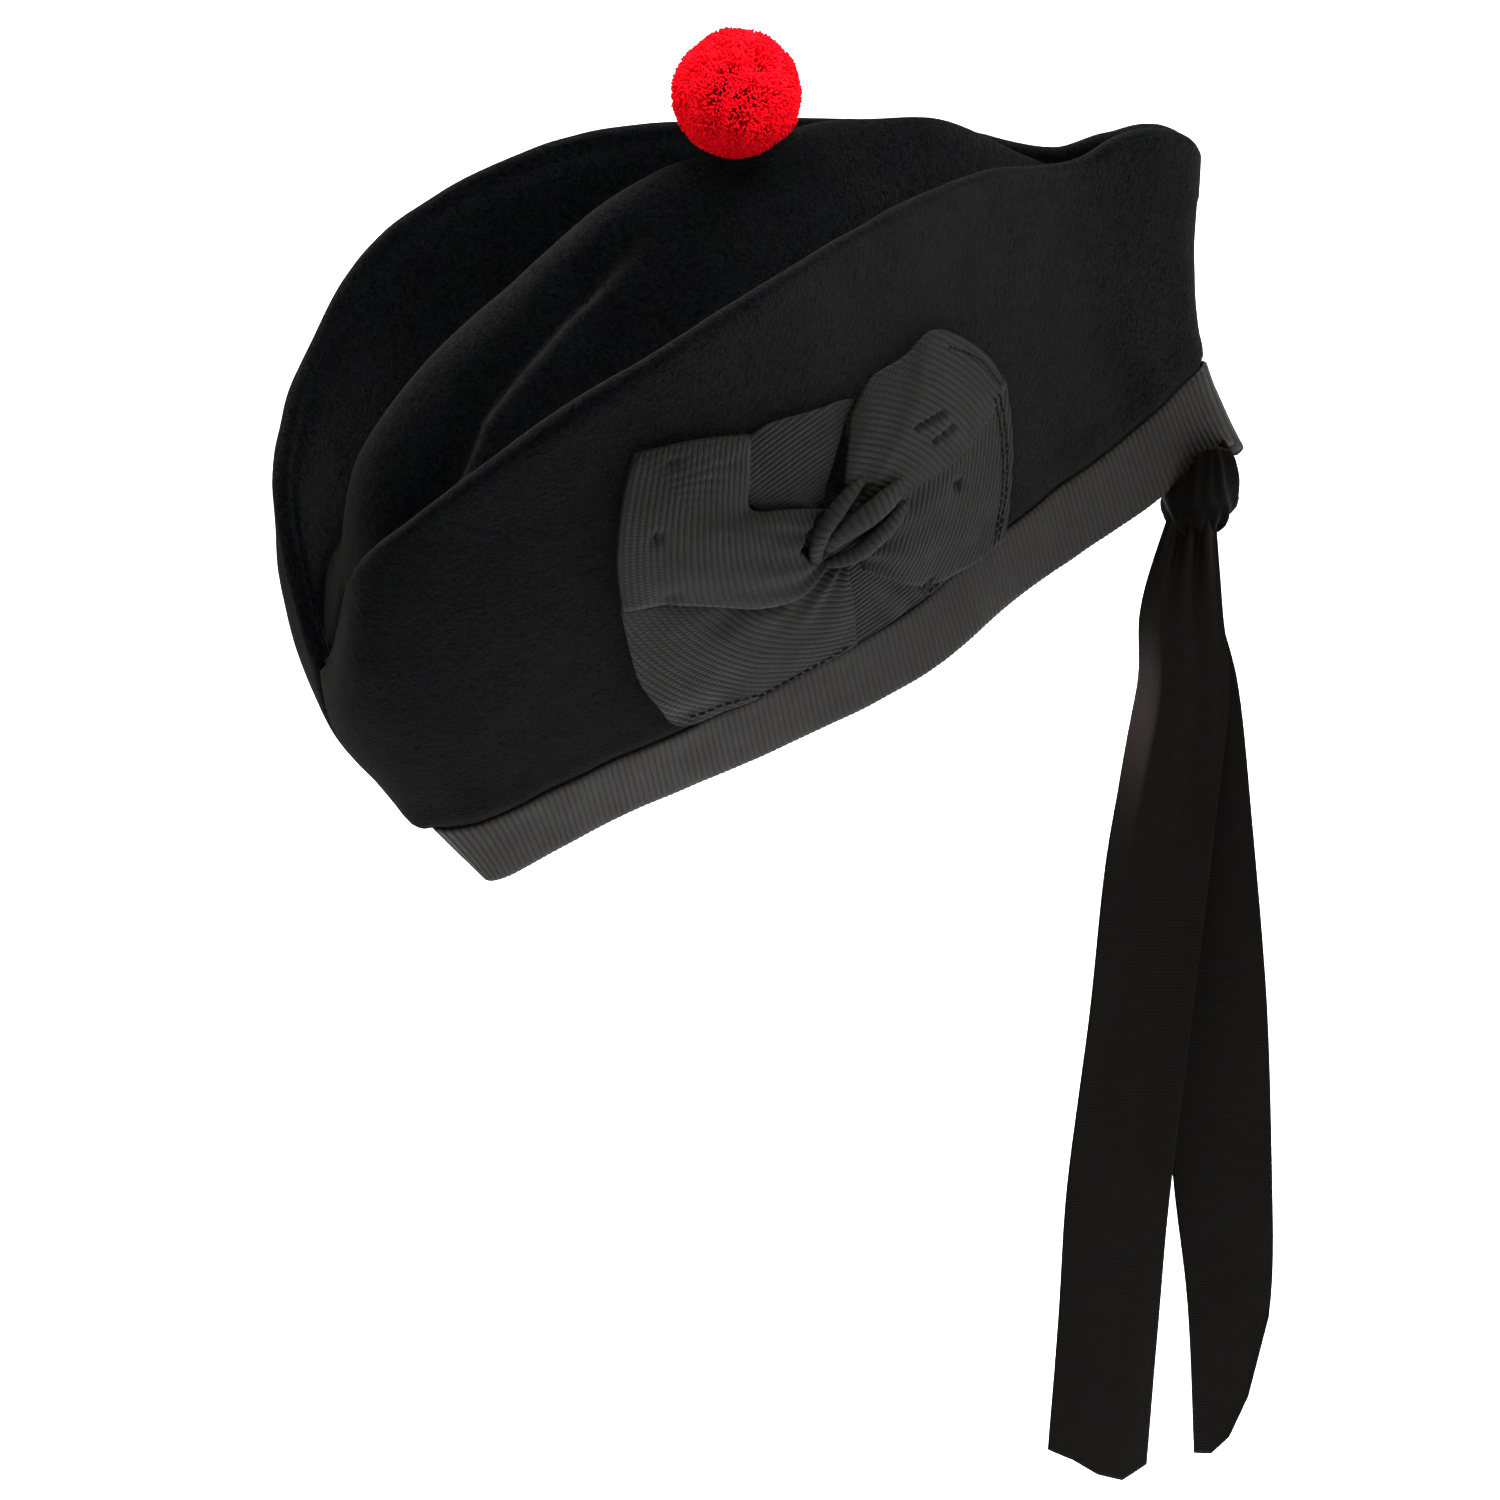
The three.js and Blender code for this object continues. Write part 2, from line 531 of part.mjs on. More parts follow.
// Materials: near-black felt, warm dark grey grosgrain, black-brown ribbon and red wool.
const felt = new THREE.MeshStandardMaterial({ color: 0x14141a, roughness: 0.95, metalness: 0 });
const grosgrain = new THREE.MeshStandardMaterial({ color: 0x2c2a29, roughness: 0.6, metalness: 0 });
const blackRibbon = new THREE.MeshStandardMaterial({ color: 0x171313, roughness: 0.55, metalness: 0 });
const redWool = new THREE.MeshStandardMaterial({ color: 0xd8101c, roughness: 0.9, metalness: 0 });

function named(name, geometry, material) {
  const mesh = new THREE.Mesh(geometry, material);
  mesh.name = name;
  return mesh;
}

const glengarry = new THREE.Group();
const hat = new THREE.Group(); // everything sewn to the wool, tipped nose down
hat.rotation.x = radians(NOSE_DOWN);
glengarry.add(hat);
hat.add(named("wool_body", geometryFrom(woolSolid), felt));
hat.add(named("rim_binding", geometryFrom(bandSolid), grosgrain));
for (const [name, layer] of Object.entries(COCKADE)) {
  hat.add(named(name, geometryFrom(cockadeLayer(layer)), grosgrain));
}
const knot = named("cockade_knot", cockadeKnot, grosgrain);
const knotSeat = onWall(KNOT_AT[0], KNOT_AT[1], 0);
const knotOut = onWall(KNOT_AT[0], KNOT_AT[1], 1).sub(knotSeat).normalize();
knot.position.copy(knotSeat).addScaledVector(knotOut, COCKADE_KNOT.out);
knot.quaternion.setFromUnitVectors(new THREE.Vector3(0, 0, 1), knotOut);
hat.add(knot);
hat.add(named("tourie", geometryFrom(tourieSolid), redWool));
hat.add(named("tie_knot", geometryFrom(tieSolid), blackRibbon));
for (const [name, shape] of Object.entries(TAILS)) {
  glengarry.add(named(name, geometryFrom(tail(shape)), blackRibbon));
}

export default glengarry;
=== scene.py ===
# A glengarry of black felted wool with a grosgrain band, a ribbon cockade on the wearer's left wall,
# a red wool tourie on the ridge, and two ribbon tails that hang from a knot at the rear.
import json
import math
from functools import lru_cache

import bmesh
import bpy
import numpy as np
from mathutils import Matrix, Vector, noise
from mathutils.bvhtree import BVHTree

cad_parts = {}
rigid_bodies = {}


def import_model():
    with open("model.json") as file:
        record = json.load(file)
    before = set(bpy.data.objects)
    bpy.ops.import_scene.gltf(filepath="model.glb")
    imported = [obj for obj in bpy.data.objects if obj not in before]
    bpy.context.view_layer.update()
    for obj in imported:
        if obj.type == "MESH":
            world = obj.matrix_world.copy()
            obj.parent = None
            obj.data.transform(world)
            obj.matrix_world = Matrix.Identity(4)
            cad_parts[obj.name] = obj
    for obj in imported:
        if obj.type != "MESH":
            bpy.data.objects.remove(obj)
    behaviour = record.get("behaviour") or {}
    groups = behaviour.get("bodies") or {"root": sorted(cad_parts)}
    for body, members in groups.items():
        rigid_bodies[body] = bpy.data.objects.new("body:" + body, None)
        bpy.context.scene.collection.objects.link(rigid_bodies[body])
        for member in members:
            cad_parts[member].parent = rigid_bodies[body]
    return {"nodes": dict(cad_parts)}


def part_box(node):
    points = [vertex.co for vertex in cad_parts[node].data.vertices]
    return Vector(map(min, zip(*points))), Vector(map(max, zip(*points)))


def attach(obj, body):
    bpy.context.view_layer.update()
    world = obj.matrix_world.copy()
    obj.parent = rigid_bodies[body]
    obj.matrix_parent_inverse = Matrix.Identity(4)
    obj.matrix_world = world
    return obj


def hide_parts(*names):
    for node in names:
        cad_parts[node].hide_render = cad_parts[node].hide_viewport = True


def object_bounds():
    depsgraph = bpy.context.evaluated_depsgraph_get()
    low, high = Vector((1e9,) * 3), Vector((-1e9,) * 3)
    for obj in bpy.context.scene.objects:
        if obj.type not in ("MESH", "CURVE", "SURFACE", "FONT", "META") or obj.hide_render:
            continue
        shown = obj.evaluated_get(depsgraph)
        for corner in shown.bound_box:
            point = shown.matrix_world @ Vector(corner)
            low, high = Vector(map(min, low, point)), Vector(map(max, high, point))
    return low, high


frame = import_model()
cad_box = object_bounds()

# Camera and studio. The camera stands 62 degrees round from the front towards the wearer's left and 26
# degrees above the head opening, with a long lens. The hat hangs over a pale floor in soft light from
# panels above, behind, low in front and at the picture's left and right, and from a bright horizon.
AZIMUTH = math.radians(62)
ELEVATION = math.radians(26)
DISTANCE = 1.854
PIXELS_PER_METRE = 3400  # at the head opening
FRAME_PIXELS = 1500
OPENING_PIXEL = (868.8, 668.8)
look = Vector((-math.sin(AZIMUTH) * math.cos(ELEVATION), math.cos(AZIMUTH) * math.cos(ELEVATION),
               -math.sin(ELEVATION)))
HAT_MIDDLE = Vector((0, -0.02, 0.06))


def put_in_scene(name, data):
    """A new object at the origin."""
    thing = bpy.data.objects.new(name, data)
    bpy.context.scene.collection.objects.link(thing)
    return thing


lens = bpy.data.cameras.new("camera")
lens.sensor_width = 36
lens.lens = PIXELS_PER_METRE * DISTANCE / FRAME_PIXELS * lens.sensor_width
lens.shift_x = 0.5 - OPENING_PIXEL[0] / FRAME_PIXELS
lens.shift_y = OPENING_PIXEL[1] / FRAME_PIXELS - 0.5
lens.clip_end = 50
camera = put_in_scene("camera", lens)
camera.location = -look * DISTANCE
camera.rotation_euler = look.to_track_quat("-Z", "Y").to_euler()
bpy.context.scene.camera = camera
bpy.context.scene.view_settings.view_transform = "Standard"


def nodes_of(tree, *kinds):
    """New shader nodes of these kinds."""
    return [tree.nodes.new("ShaderNode" + kind) for kind in kinds]


def set_inputs(node, values):
    """Set a node's own sockets, by name."""
    for socket, value in values.items():
        node.inputs[socket].default_value = value


def wire(tree, wires):
    """Join nodes: each wire is a node and its output, then a node and its input."""
    for source, output, target, socket in wires:
        tree.links.new(source.outputs[output], target.inputs[socket])


def principled(name, colour, roughness, sockets=None):
    """A material with one Principled BSDF, whose plain values are set on its own sockets."""
    material = bpy.data.materials.new(name)
    material.use_nodes = True
    shader = material.node_tree.nodes["Principled BSDF"]
    set_inputs(shader, {"Base Color": (*colour, 1), "Roughness": roughness, **(sockets or {})})
    return material, material.node_tree, shader


def mesh_object(name, vertices, faces, material):
    """A smoothly shaded piece from points in metres and faces."""
    mesh = bpy.data.meshes.new(name)
    mesh.from_pydata([tuple(v) for v in vertices], [], faces)
    mesh.materials.append(material)
    mesh.polygons.foreach_set("use_smooth", [True] * len(mesh.polygons))
    mesh.update()
    return put_in_scene(name, mesh)


FLOOR_DROP = 0.34  # the floor's distance below the tails, in metres
FLOOR_HALF = 9.0
floor_material = principled("pale_floor", (0.92, 0.92, 0.92), 0.9, {
    "Emission Color": (1, 1, 1, 1), "Emission Strength": 0.62})[0]
floor_z = cad_box[0][2] - FLOOR_DROP
floor = mesh_object("floor", [(x * FLOOR_HALF, y * FLOOR_HALF, floor_z) for x, y in
                              [(-1, -1), (1, -1), (1, 1), (-1, 1)]], [(0, 1, 2, 3)], floor_material)

world = bpy.data.worlds.new("studio")
bpy.context.scene.world = world
world.use_nodes = True
sky = world.node_tree
direction, split, dome = nodes_of(sky, "TexCoord", "SeparateXYZ", "MapRange")
set_inputs(dome, {"From Min": 0.0, "From Max": 0.9, "To Min": 1.0, "To Max": 0.6})
wire(sky, [(direction, "Generated", split, 0), (split, "Z", dome, "Value"),
           (dome, "Result", sky.nodes["Background"], "Strength")])


def softbox(name, place, size, power):
    """A square light panel that faces the hat."""
    data = bpy.data.lights.new(name, "AREA")
    data.shape = "SQUARE"
    data.size = size
    data.energy = power
    panel = put_in_scene(name, data)
    panel.location = place
    aim = HAT_MIDDLE - Vector(place)
    panel.rotation_euler = aim.to_track_quat("-Z", "Y").to_euler()


softbox("panel_left", (-1.6, -1.2, 1.7), 1.6, 52)
softbox("panel_right", (1.3, 1.7, 1.0), 0.5, 30)
softbox("panel_behind", (-0.9, 1.8, 2.0), 1.2, 130)
softbox("panel_front", (1.25, -1.35, 0.6), 1.0, 12)
softbox("panel_above", (0.45, 0.45, 2.3), 1.5, 130)

# Wool body. One shell of black felted wool, about 2 mm thick, knitted and milled: two walls that meet
# at a front and a rear seam, a rolled top edge, and a crown folded down into a valley on each side of
# a centre ridge. Its sections stand along the hat before it is tipped nose down, in millimetres.
NOSE_DOWN = math.radians(18)
FELT = 2.2
ROLL = 3.0  # radius of the rolled edge
BAND_WIDE = 26.0
BAND_RECESS = 1.4  # the wool is drawn in under the band by this much
# The rim is the lower edge, with its half width on the near and the far side. The top is the rolled
# edge, the dips are the valleys' depths below it, and the belly is how far the wall bows between.
COLUMNS = ["rim_y", "rim_z", "near_x", "far_x", "top_y", "top_x", "top_z", "ridge_z", "near_dip",
           "far_dip", "belly_y", "belly_x"]
STATIONS = [
    [-131, 1.3, 0, 0, -155, 0, 93, 91, 0, 0, -7.5, 0],
    [-127, 1.5, 3.5, 4.5, -142.5, 28, 131, 114, 20, 22, -11.5, 2],
    [-116, 2.5, 6, 9, -126, 44, 146, 142, 25, 32, -7.5, 3],
    [-100, 3.8, 9, 15, -107, 55, 156, 156, 28, 38, -2, 4],
    [-83, 4.9, 13, 22, -89, 63, 163, 164, 30, 42, 0, 4],
    [-65, 5.8, 17.5, 29.5, -69, 68, 168, 169, 30, 43, 0, 4],
    [-45, 6.5, 22.5, 37, -48, 69.5, 170, 174, 30, 42, 0, 4],
    [-26, 7, 25.5, 42, -28, 67, 170, 179, 29, 40, 0, 4],
    [-6, 7.3, 27, 44, -7, 62, 168.5, 181, 27, 37, 0, 4],
    [13, 7.3, 26, 42.5, 13, 54, 165, 179, 25, 33, 0, 3],
    [33, 7, 19.5, 36, 34, 45, 159.5, 174, 22, 28, 0, 3],
    [53, 6.4, 13, 28, 55, 35, 152.5, 165, 18, 23, 0, 2],
    [73, 5.6, 9, 20, 76, 24.5, 143.5, 153, 14, 17, -1, 1],
    [92, 5.2, 7, 14, 97, 15, 130, 130, 9, 10, -3, 0],
    [103, 6.5, 6.4, 10.5, 110, 11, 124.5, 118, 7, 8, -4, 0],
    [114, 8.8, 5.7, 8, 123, 8.5, 123, 116, 5, 6, -6, 0],
    [123, 10.6, 4.8, 6, 136, 6.5, 118.5, 112, 4, 4, -8, 0],
    [129, 11.5, 3.3, 3.8, 145, 4, 111, 107, 2, 2, -7.0, 0],
    [131, 11.5, 0, 0, 147.8, 0, 103, 101, 0, 0, -6.6, 0],
]
LAST = len(STATIONS) - 1
NEAR_VALLEY = 0.74  # shares of the crown's half width
FAR_VALLEY = -0.62
CREASE = {"tops": (-114, -90, -55, -35), "shares": (0.47, 0.29, 0.2, 0.19), "depth": 6.0,
          "width": 0.055, "fades": (-45, -15)}  # a fold in the crown's near slope, in front
# A share of 1 lifts the far edge and moves it out by the last two, and one below 0 lowers it.
FAR_EDGE = {"stations": (0, 1.4, 2.4, 4.3, 5.6, 7.4, 8.6, 10, 12.8, 14, 15.2, 16.4, 18),
            "shares": (0, -1, 0, 1, 0.65, 0.8, 0.5, 0, 0, -1.6, -2, -0.6, 0),
            "up": 1.3, "out": 1.2}
# The felt swells over the band at the nose, between these shares of the wall's height.
NOSE_PUFF = {"out": 3.0, "from": 0.27, "full": 0.33, "fade": 0.15, "reach": 0.9}
BELLY_RISES = (1.9, 0.7)  # the belly sits high in the wall at the nose and low at the rear seam
RIDGE_DIMPLE = {"at": 18.5, "depth": 5.0, "reach": 15.0, "spread": 0.3}  # under the tourie


def table_row(i):
    """A row of the table. Past a seam the hat's other side follows on, so both ends are round."""
    if 0 <= i <= LAST:
        return STATIONS[i]
    inside = dict(zip(COLUMNS, STATIONS[-i if i < 0 else 2 * LAST - i]))
    inside["near_x"], inside["far_x"] = -inside["far_x"], -inside["near_x"]
    inside["top_x"], inside["belly_x"] = -inside["top_x"], -inside["belly_x"]
    return [inside[name] for name in COLUMNS]


def clamped(share):
    """The share, kept from 0 to 1."""
    return min(max(share, 0), 1)


def eased(share):
    """A share that starts and ends gently."""
    return clamped(share) ** 2 * (3 - 2 * clamped(share))


def hill(away, reach):
    """1 at the middle, falling off evenly on both sides."""
    return math.exp(-(away / reach) ** 2)


def between(a, b, c, d, f):
    """A share of the way from b to c, on a smooth curve through all four."""
    return b + 0.5 * f * (c - a + f * (2 * a - 5 * b + 4 * c - d + f * (3 * (b - c) + d - a)))


@lru_cache(maxsize=None)
def station(t):
    """The table's columns at a station that may lie between two rows."""
    i = min(int(math.floor(t)), LAST - 1)
    rows = zip(*(table_row(i + k) for k in (-1, 0, 1, 2)))
    values = {name: between(*row, t - i) for name, row in zip(COLUMNS, rows)}
    values["far"] = float(np.interp(t, FAR_EDGE["stations"], FAR_EDGE["shares"]))
    return values


def wall_line(t, side, v):
    """A point of a wall: side 1 is the wearer's left, and v runs from the rim to the rolled edge."""
    s = station(min(max(t, 0.0), float(LAST)))
    bulge = math.sin(math.pi * clamped(v))
    rise = BELLY_RISES[0] + (BELLY_RISES[1] - BELLY_RISES[0]) * clamped(t / LAST)
    end_bulge = math.sin(math.pi * clamped(v) ** rise)
    swell = eased((v - NOSE_PUFF["from"]) / (NOSE_PUFF["full"] - NOSE_PUFF["from"]))
    puff = (NOSE_PUFF["out"] * swell * hill(t, NOSE_PUFF["reach"])
            * hill(max(v - NOSE_PUFF["full"], 0), NOSE_PUFF["fade"]))
    rim_x = s["near_x"] if side > 0 else s["far_x"]
    extra = 0 if side > 0 else s["far"] * v
    top_x = s["top_x"] + extra * FAR_EDGE["out"]
    return Vector((side * (rim_x + (top_x - rim_x) * v + s["belly_x"] * bulge),
                   s["rim_y"] + (s["top_y"] - s["rim_y"]) * v + s["belly_y"] * end_bulge - puff,
                   s["rim_z"] + (s["top_z"] - ROLL - s["rim_z"]) * v + extra * FAR_EDGE["up"]))


def wall_normal(t, side, v):
    """The wall's outward direction."""
    step = 0.02
    up = wall_line(t, side, v + step) - wall_line(t, side, v - step)
    if t < step or t > LAST - step:
        turn = -1 if t < 1 else 1
        return Vector((0, turn * up.z, -turn * up.y)).normalized()
    along = wall_line(t + step, side, v) - wall_line(t - step, side, v)
    return (along.cross(up) * side).normalized()


def wall_height(t, side):
    """The wall's slant height at a station."""
    return (wall_line(t, side, 1) - wall_line(t, side, 0)).length


def crown_height(s, share):
    """The crown's height at a share of its half width, 1 at the near wall and -1 at the far one."""
    start = s["top_z"] - ROLL - 1
    knots = [(1, start), (NEAR_VALLEY, s["top_z"] - s["near_dip"]), (0, s["ridge_z"]),
             (FAR_VALLEY, s["top_z"] - s["far_dip"]), (-1, start + s["far"] * FAR_EDGE["up"])]
    i = next((k for k in range(1, 5) if share >= knots[k][0]), 4)
    f = (knots[i - 1][0] - share) / (knots[i - 1][0] - knots[i][0])
    soft = 0.5 - 0.5 * math.cos(math.pi * f)
    fold_line = float(np.interp(s["top_y"], CREASE["tops"], CREASE["shares"]))
    crease = (CREASE["depth"] * float(np.interp(s["top_y"], CREASE["fades"], (1, 0)))
              * clamped(s["top_x"] / 50) * hill(share - fold_line, CREASE["width"]))
    sewn = (RIDGE_DIMPLE["depth"] * hill(s["top_y"] - RIDGE_DIMPLE["at"], RIDGE_DIMPLE["reach"])
            * hill(share, RIDGE_DIMPLE["spread"]))
    return knots[i - 1][1] + (knots[i][1] - knots[i - 1][1]) * soft - crease - sewn


def placed(points):
    """From the hat's own upright millimetres to metres in the row frame, tipped nose down."""
    c, s = math.cos(NOSE_DOWN), math.sin(NOSE_DOWN)
    x, y, z = np.moveaxis(np.asarray(points), -1, 0)
    return np.stack([x, y * c - z * s, y * s + z * c], axis=-1).reshape(-1, 3) / 1000


WALL_ROWS = 30
ROLL_ROWS = 7
CROWN_ROWS = 72
ALONG_STEPS = 9  # sections in each interval of the table
FOOT_HEIGHTS = [0, 5, 10, 15, 20, 24, 26, 27.5, 29.5, 32]


def drawn_in(up):
    """How far the wool is drawn in at a height, most of it just where the band ends."""
    return BAND_RECESS * (1 - eased((up - BAND_WIDE) / 3.5)) - 0.5 * hill(up - BAND_WIDE - 6, 4)


def wool_section(t):
    """The shell's outline at a station, from the near rim over the crown to the far rim."""
    s = station(t)
    sides = {}
    for side in (1, -1):
        high = wall_height(t, side)
        foot = [up / high for up in FOOT_HEIGHTS]
        rises = foot + [foot[-1] + (1 - foot[-1]) * k / WALL_ROWS for k in range(1, WALL_ROWS)]
        wall = [wall_line(t, side, v) - wall_normal(t, side, v) * drawn_in(v * high) for v in rises]
        outward = wall_normal(t, side, 1)
        outward.z = 0
        outward.normalize()
        roll = ROLL * clamped(s["top_x"] / 8) if t > LAST / 2 else ROLL
        middle = wall_line(t, side, 1) - outward * roll
        turns = [math.pi * k / (ROLL_ROWS - 1) for k in range(ROLL_ROWS)]
        edge = [middle + outward * roll * math.cos(a) + Vector((0, 0, roll * math.sin(a)))
                for a in turns]
        sides[side] = (wall, edge)
    (near_wall, near_edge), (far_wall, far_edge) = sides[1], sides[-1]
    crown = []
    for k in range(1, CROWN_ROWS):
        share = 1 - 2 * k / CROWN_ROWS
        p = near_edge[-1].lerp(far_edge[-1], (1 - share) / 2)
        if s["top_x"] > 0.01:
            p.z = crown_height(s, share)
        crown.append(p)
    return near_wall + near_edge + crown + far_edge[::-1] + far_wall[::-1]


def hand_shaped(p, t):
    """The small unevenness of steamed felt: soft hollows, long waves in the walls and puckers."""
    broad = noise.noise(p / 46.0) * 1.3
    small = noise.noise(p / 13.0 + Vector((7, 3, 1))) * 0.35
    gathers = 0.35 * hill(p.z - 42, 22) * math.sin(p.y / 4.1 + 2.2 * noise.noise(p / 30.0))
    return broad + small + gathers


def grid_faces(rows, columns):
    """The faces of a grid of points that is stored row by row."""
    corners = [i * columns + j for i in range(rows - 1) for j in range(columns - 1)]
    return [(a, a + 1, a + columns + 1, a + columns) for a in corners]


SEAM = {"depth": 0.9, "rear_depth": 0.3, "width": 1.6}
REAR_TIP = {"above": 88, "reach": 2.2, "thinnest": 0.04}  # the felt thins towards the rear tip
sections = [wool_section(k / ALONG_STEPS) for k in range(LAST * ALONG_STEPS + 1)]
across = len(sections[0])
wool_points = [p for section in sections for p in section]
wool_faces = [(a, d, c, b) for a, b, c, d in grid_faces(len(sections), across)]


def mix_colours(node, first=(0, 0, 0), second=(0, 0, 0), multiply=None):
    """Set a Mix node to blend two colours, or to multiply them by a factor."""
    node.data_type = "RGBA"
    set_inputs(node, {"A": (*first, 1), "B": (*second, 1)})
    if multiply:
        node.blend_type = "MULTIPLY"
        node.inputs["Factor"].default_value = multiply


def felt_finish():
    """Milled wool: a matt black nap with paler fibre ends, a soft bloom, and slow cloudiness."""
    material, tree, shader = principled("black_felt", (0.0035, 0.0042, 0.0042), 0.97, {
        "Sheen Weight": 0.04, "Sheen Roughness": 0.28, "Sheen Tint": (1, 0.91, 0.84, 1),
        "Specular IOR Level": 0.02})
    place, nap, cloud, flecks, shade, clouded, bump = nodes_of(
        tree, "TexCoord", "TexNoise", "TexNoise", "ValToRGB", "Mix", "Mix", "Bump")
    set_inputs(nap, {"Scale": 760, "Detail": 5, "Roughness": 0.72, "Distortion": 1.6})
    set_inputs(cloud, {"Scale": 85, "Detail": 4})
    flecks.color_ramp.elements[0].position = 0.41
    flecks.color_ramp.elements[1].position = 0.62
    mix_colours(shade, (0.0002, 0.0003, 0.0003), (0.0040, 0.0047, 0.0056))
    mix_colours(clouded, multiply=0.5)
    set_inputs(bump, {"Strength": 0.9, "Distance": 0.0009})
    wire(tree, [
        (place, "Object", nap, "Vector"), (place, "Object", cloud, "Vector"),
        (nap, "Fac", flecks, "Fac"), (flecks, "Color", shade, "Factor"),
        (shade, "Result", clouded, "A"), (cloud, "Color", clouded, "B"),
        (clouded, "Result", shader, "Base Color"),
        (nap, "Fac", bump, "Height"), (bump, "Normal", shader, "Normal")])
    return material


def thicken(piece, name, thick, offset):
    """Give a surface its thickness: inwards for an offset of -1, and both ways for 0."""
    solid = piece.modifiers.new(name, "SOLIDIFY")
    solid.thickness = thick / 1000
    solid.offset = offset
    return solid


felt = felt_finish()
wool = mesh_object("wool_shell", placed(wool_points), wool_faces, felt)
wool_normals = [v.normal.copy() for v in wool.data.vertices]
thick_here = wool.vertex_groups.new(name="thick_here")
for vertex, normal, p in zip(wool.data.vertices, wool_normals, wool_points):
    t = vertex.index // across / ALONG_STEPS
    deep = SEAM["depth"] if t < 1 else SEAM["rear_depth"] if t > LAST - 1.5 else 0
    seam = deep * hill(p.x, SEAM["width"])
    fullness = min((LAST - t) / REAR_TIP["reach"], 1) if p.z > REAR_TIP["above"] else 1
    vertex.co -= normal * (seam - hand_shaped(p, t)) * fullness / 1000
    thick_here.add([vertex.index], max(fullness, REAR_TIP["thinnest"]), "REPLACE")
weld = wool.modifiers.new("weld", "WELD")
weld.merge_threshold = 0.00002
thicken(wool, "felt", FELT, -1).vertex_group = "thick_here"
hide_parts("wool_body")
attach(wool, "root")

# Band. One length of black grosgrain, 26 mm wide, sewn over the lower edge of the wool. It lies round
# the outside, turns level under the edge and ends a few millimetres up the inside.
RIB_PITCH = 1.8
RIB_RELIEF = 0.24
FINE_THREAD = 0.42  # spacing of the fine threads that cross the ribs
SAMPLES_PER_RIB = 4
RIM_STEPS = 50  # in each interval of the table, to measure the way round the rim
BAND_PROFILE = [  # up from the lower edge, and out from the wall line, round the ribbon's section
    (25.2, -1.3), (26.0, -1.1), (26.1, -0.6), (25.6, -0.15), (24.2, 0.0), (21, 0.08), (17, 0.13),
    (13, 0.15), (9, 0.13), (5, 0.08), (2.2, 0.0), (0.5, -0.2), (-0.6, -0.8), (-1.1, -1.8),
    (-1.1, -3.4), (-0.4, -4.3), (1.2, -4.6), (5.0, -4.6), (5.2, -4.0), (0.6, -3.9), (-0.1, -3.0),
    (-0.1, -1.9), (1.0, -1.4), (13.0, -1.3)]
RIBBED_ROWS = range(2, 14)  # of them, those on the outside
REAR_FLARE = {"out": 4.2, "down": 8.0, "reach": 0.8}  # where its ends run out towards the tie
TAU = 2 * math.pi


def set_weave(piece, values):
    """Store the ribbon's own millimetres, along and across it, at each point."""
    layer = piece.data.attributes.new("weave", "FLOAT_VECTOR", "POINT")
    layer.data.foreach_set("vector", np.asarray(values, dtype=np.float32).ravel())


def ring_faces(ring, after, count):
    """The faces between a closed ring of points and the one after it."""
    corners = [(k, (k + 1) % count) for k in range(count)]
    return [(ring + k, ring + beside, after + beside, after + k) for k, beside in corners]


def new_group(name, kind, inputs, outputs):
    """A node group with its named sockets and their types, and its start and end nodes."""
    group = bpy.data.node_groups.new(name, kind)
    for way, sockets in (("INPUT", inputs), ("OUTPUT", outputs)):
        for socket, of_type in sockets.items():
            group.interface.new_socket(socket, in_out=way, socket_type="NodeSocket" + of_type)
    return group, group.nodes.new("NodeGroupInput"), group.nodes.new("NodeGroupOutput")


def rib_group():
    """Grosgrain: rounded ribs across the ribbon, crossed by fine threads that step from rib to rib."""
    group, start, end = new_group("grosgrain_ribs", "ShaderNodeTree", {
        "Weave": "Vector", "Pitch": "Float", "Thread": "Float"}, {"Height": "Float", "Groove": "Float"})
    split, wander = nodes_of(group, "SeparateXYZ", "TexNoise")
    wander.inputs["Scale"].default_value = 0.35
    link = group.links.new

    def maths(kind, a, b=None):
        """The output of a Math node, whose inputs are other outputs or plain values."""
        node = group.nodes.new("ShaderNodeMath")
        node.operation = kind
        for k, value in enumerate((a, b)):
            if hasattr(value, "is_output"):
                link(value, node.inputs[k])
            elif value is not None:
                node.inputs[k].default_value = value
        return node.outputs[0]

    link(start.outputs["Weave"], split.inputs[0])
    link(start.outputs["Weave"], wander.inputs["Vector"])
    shifted = maths("ADD", split.outputs["X"], maths("MULTIPLY", wander.outputs["Fac"], 0.3))
    rib = maths("DIVIDE", shifted, start.outputs["Pitch"])
    ridge = maths("POWER", maths("ABSOLUTE", maths("SINE", maths("MULTIPLY", rib, math.pi))), 0.7)
    step = maths("MULTIPLY", maths("FLOOR", rib), 0.5)
    thread = maths("ADD", maths("DIVIDE", split.outputs["Y"], start.outputs["Thread"]), step)
    wave = maths("ABSOLUTE", maths("SINE", maths("MULTIPLY", thread, math.pi)))
    link(maths("MULTIPLY", ridge, maths("ADD", maths("MULTIPLY", wave, 0.3), 0.7)),
         end.inputs["Height"])
    link(maths("SUBTRACT", 1.0, ridge), end.inputs["Groove"])
    return group


RIBS = rib_group()


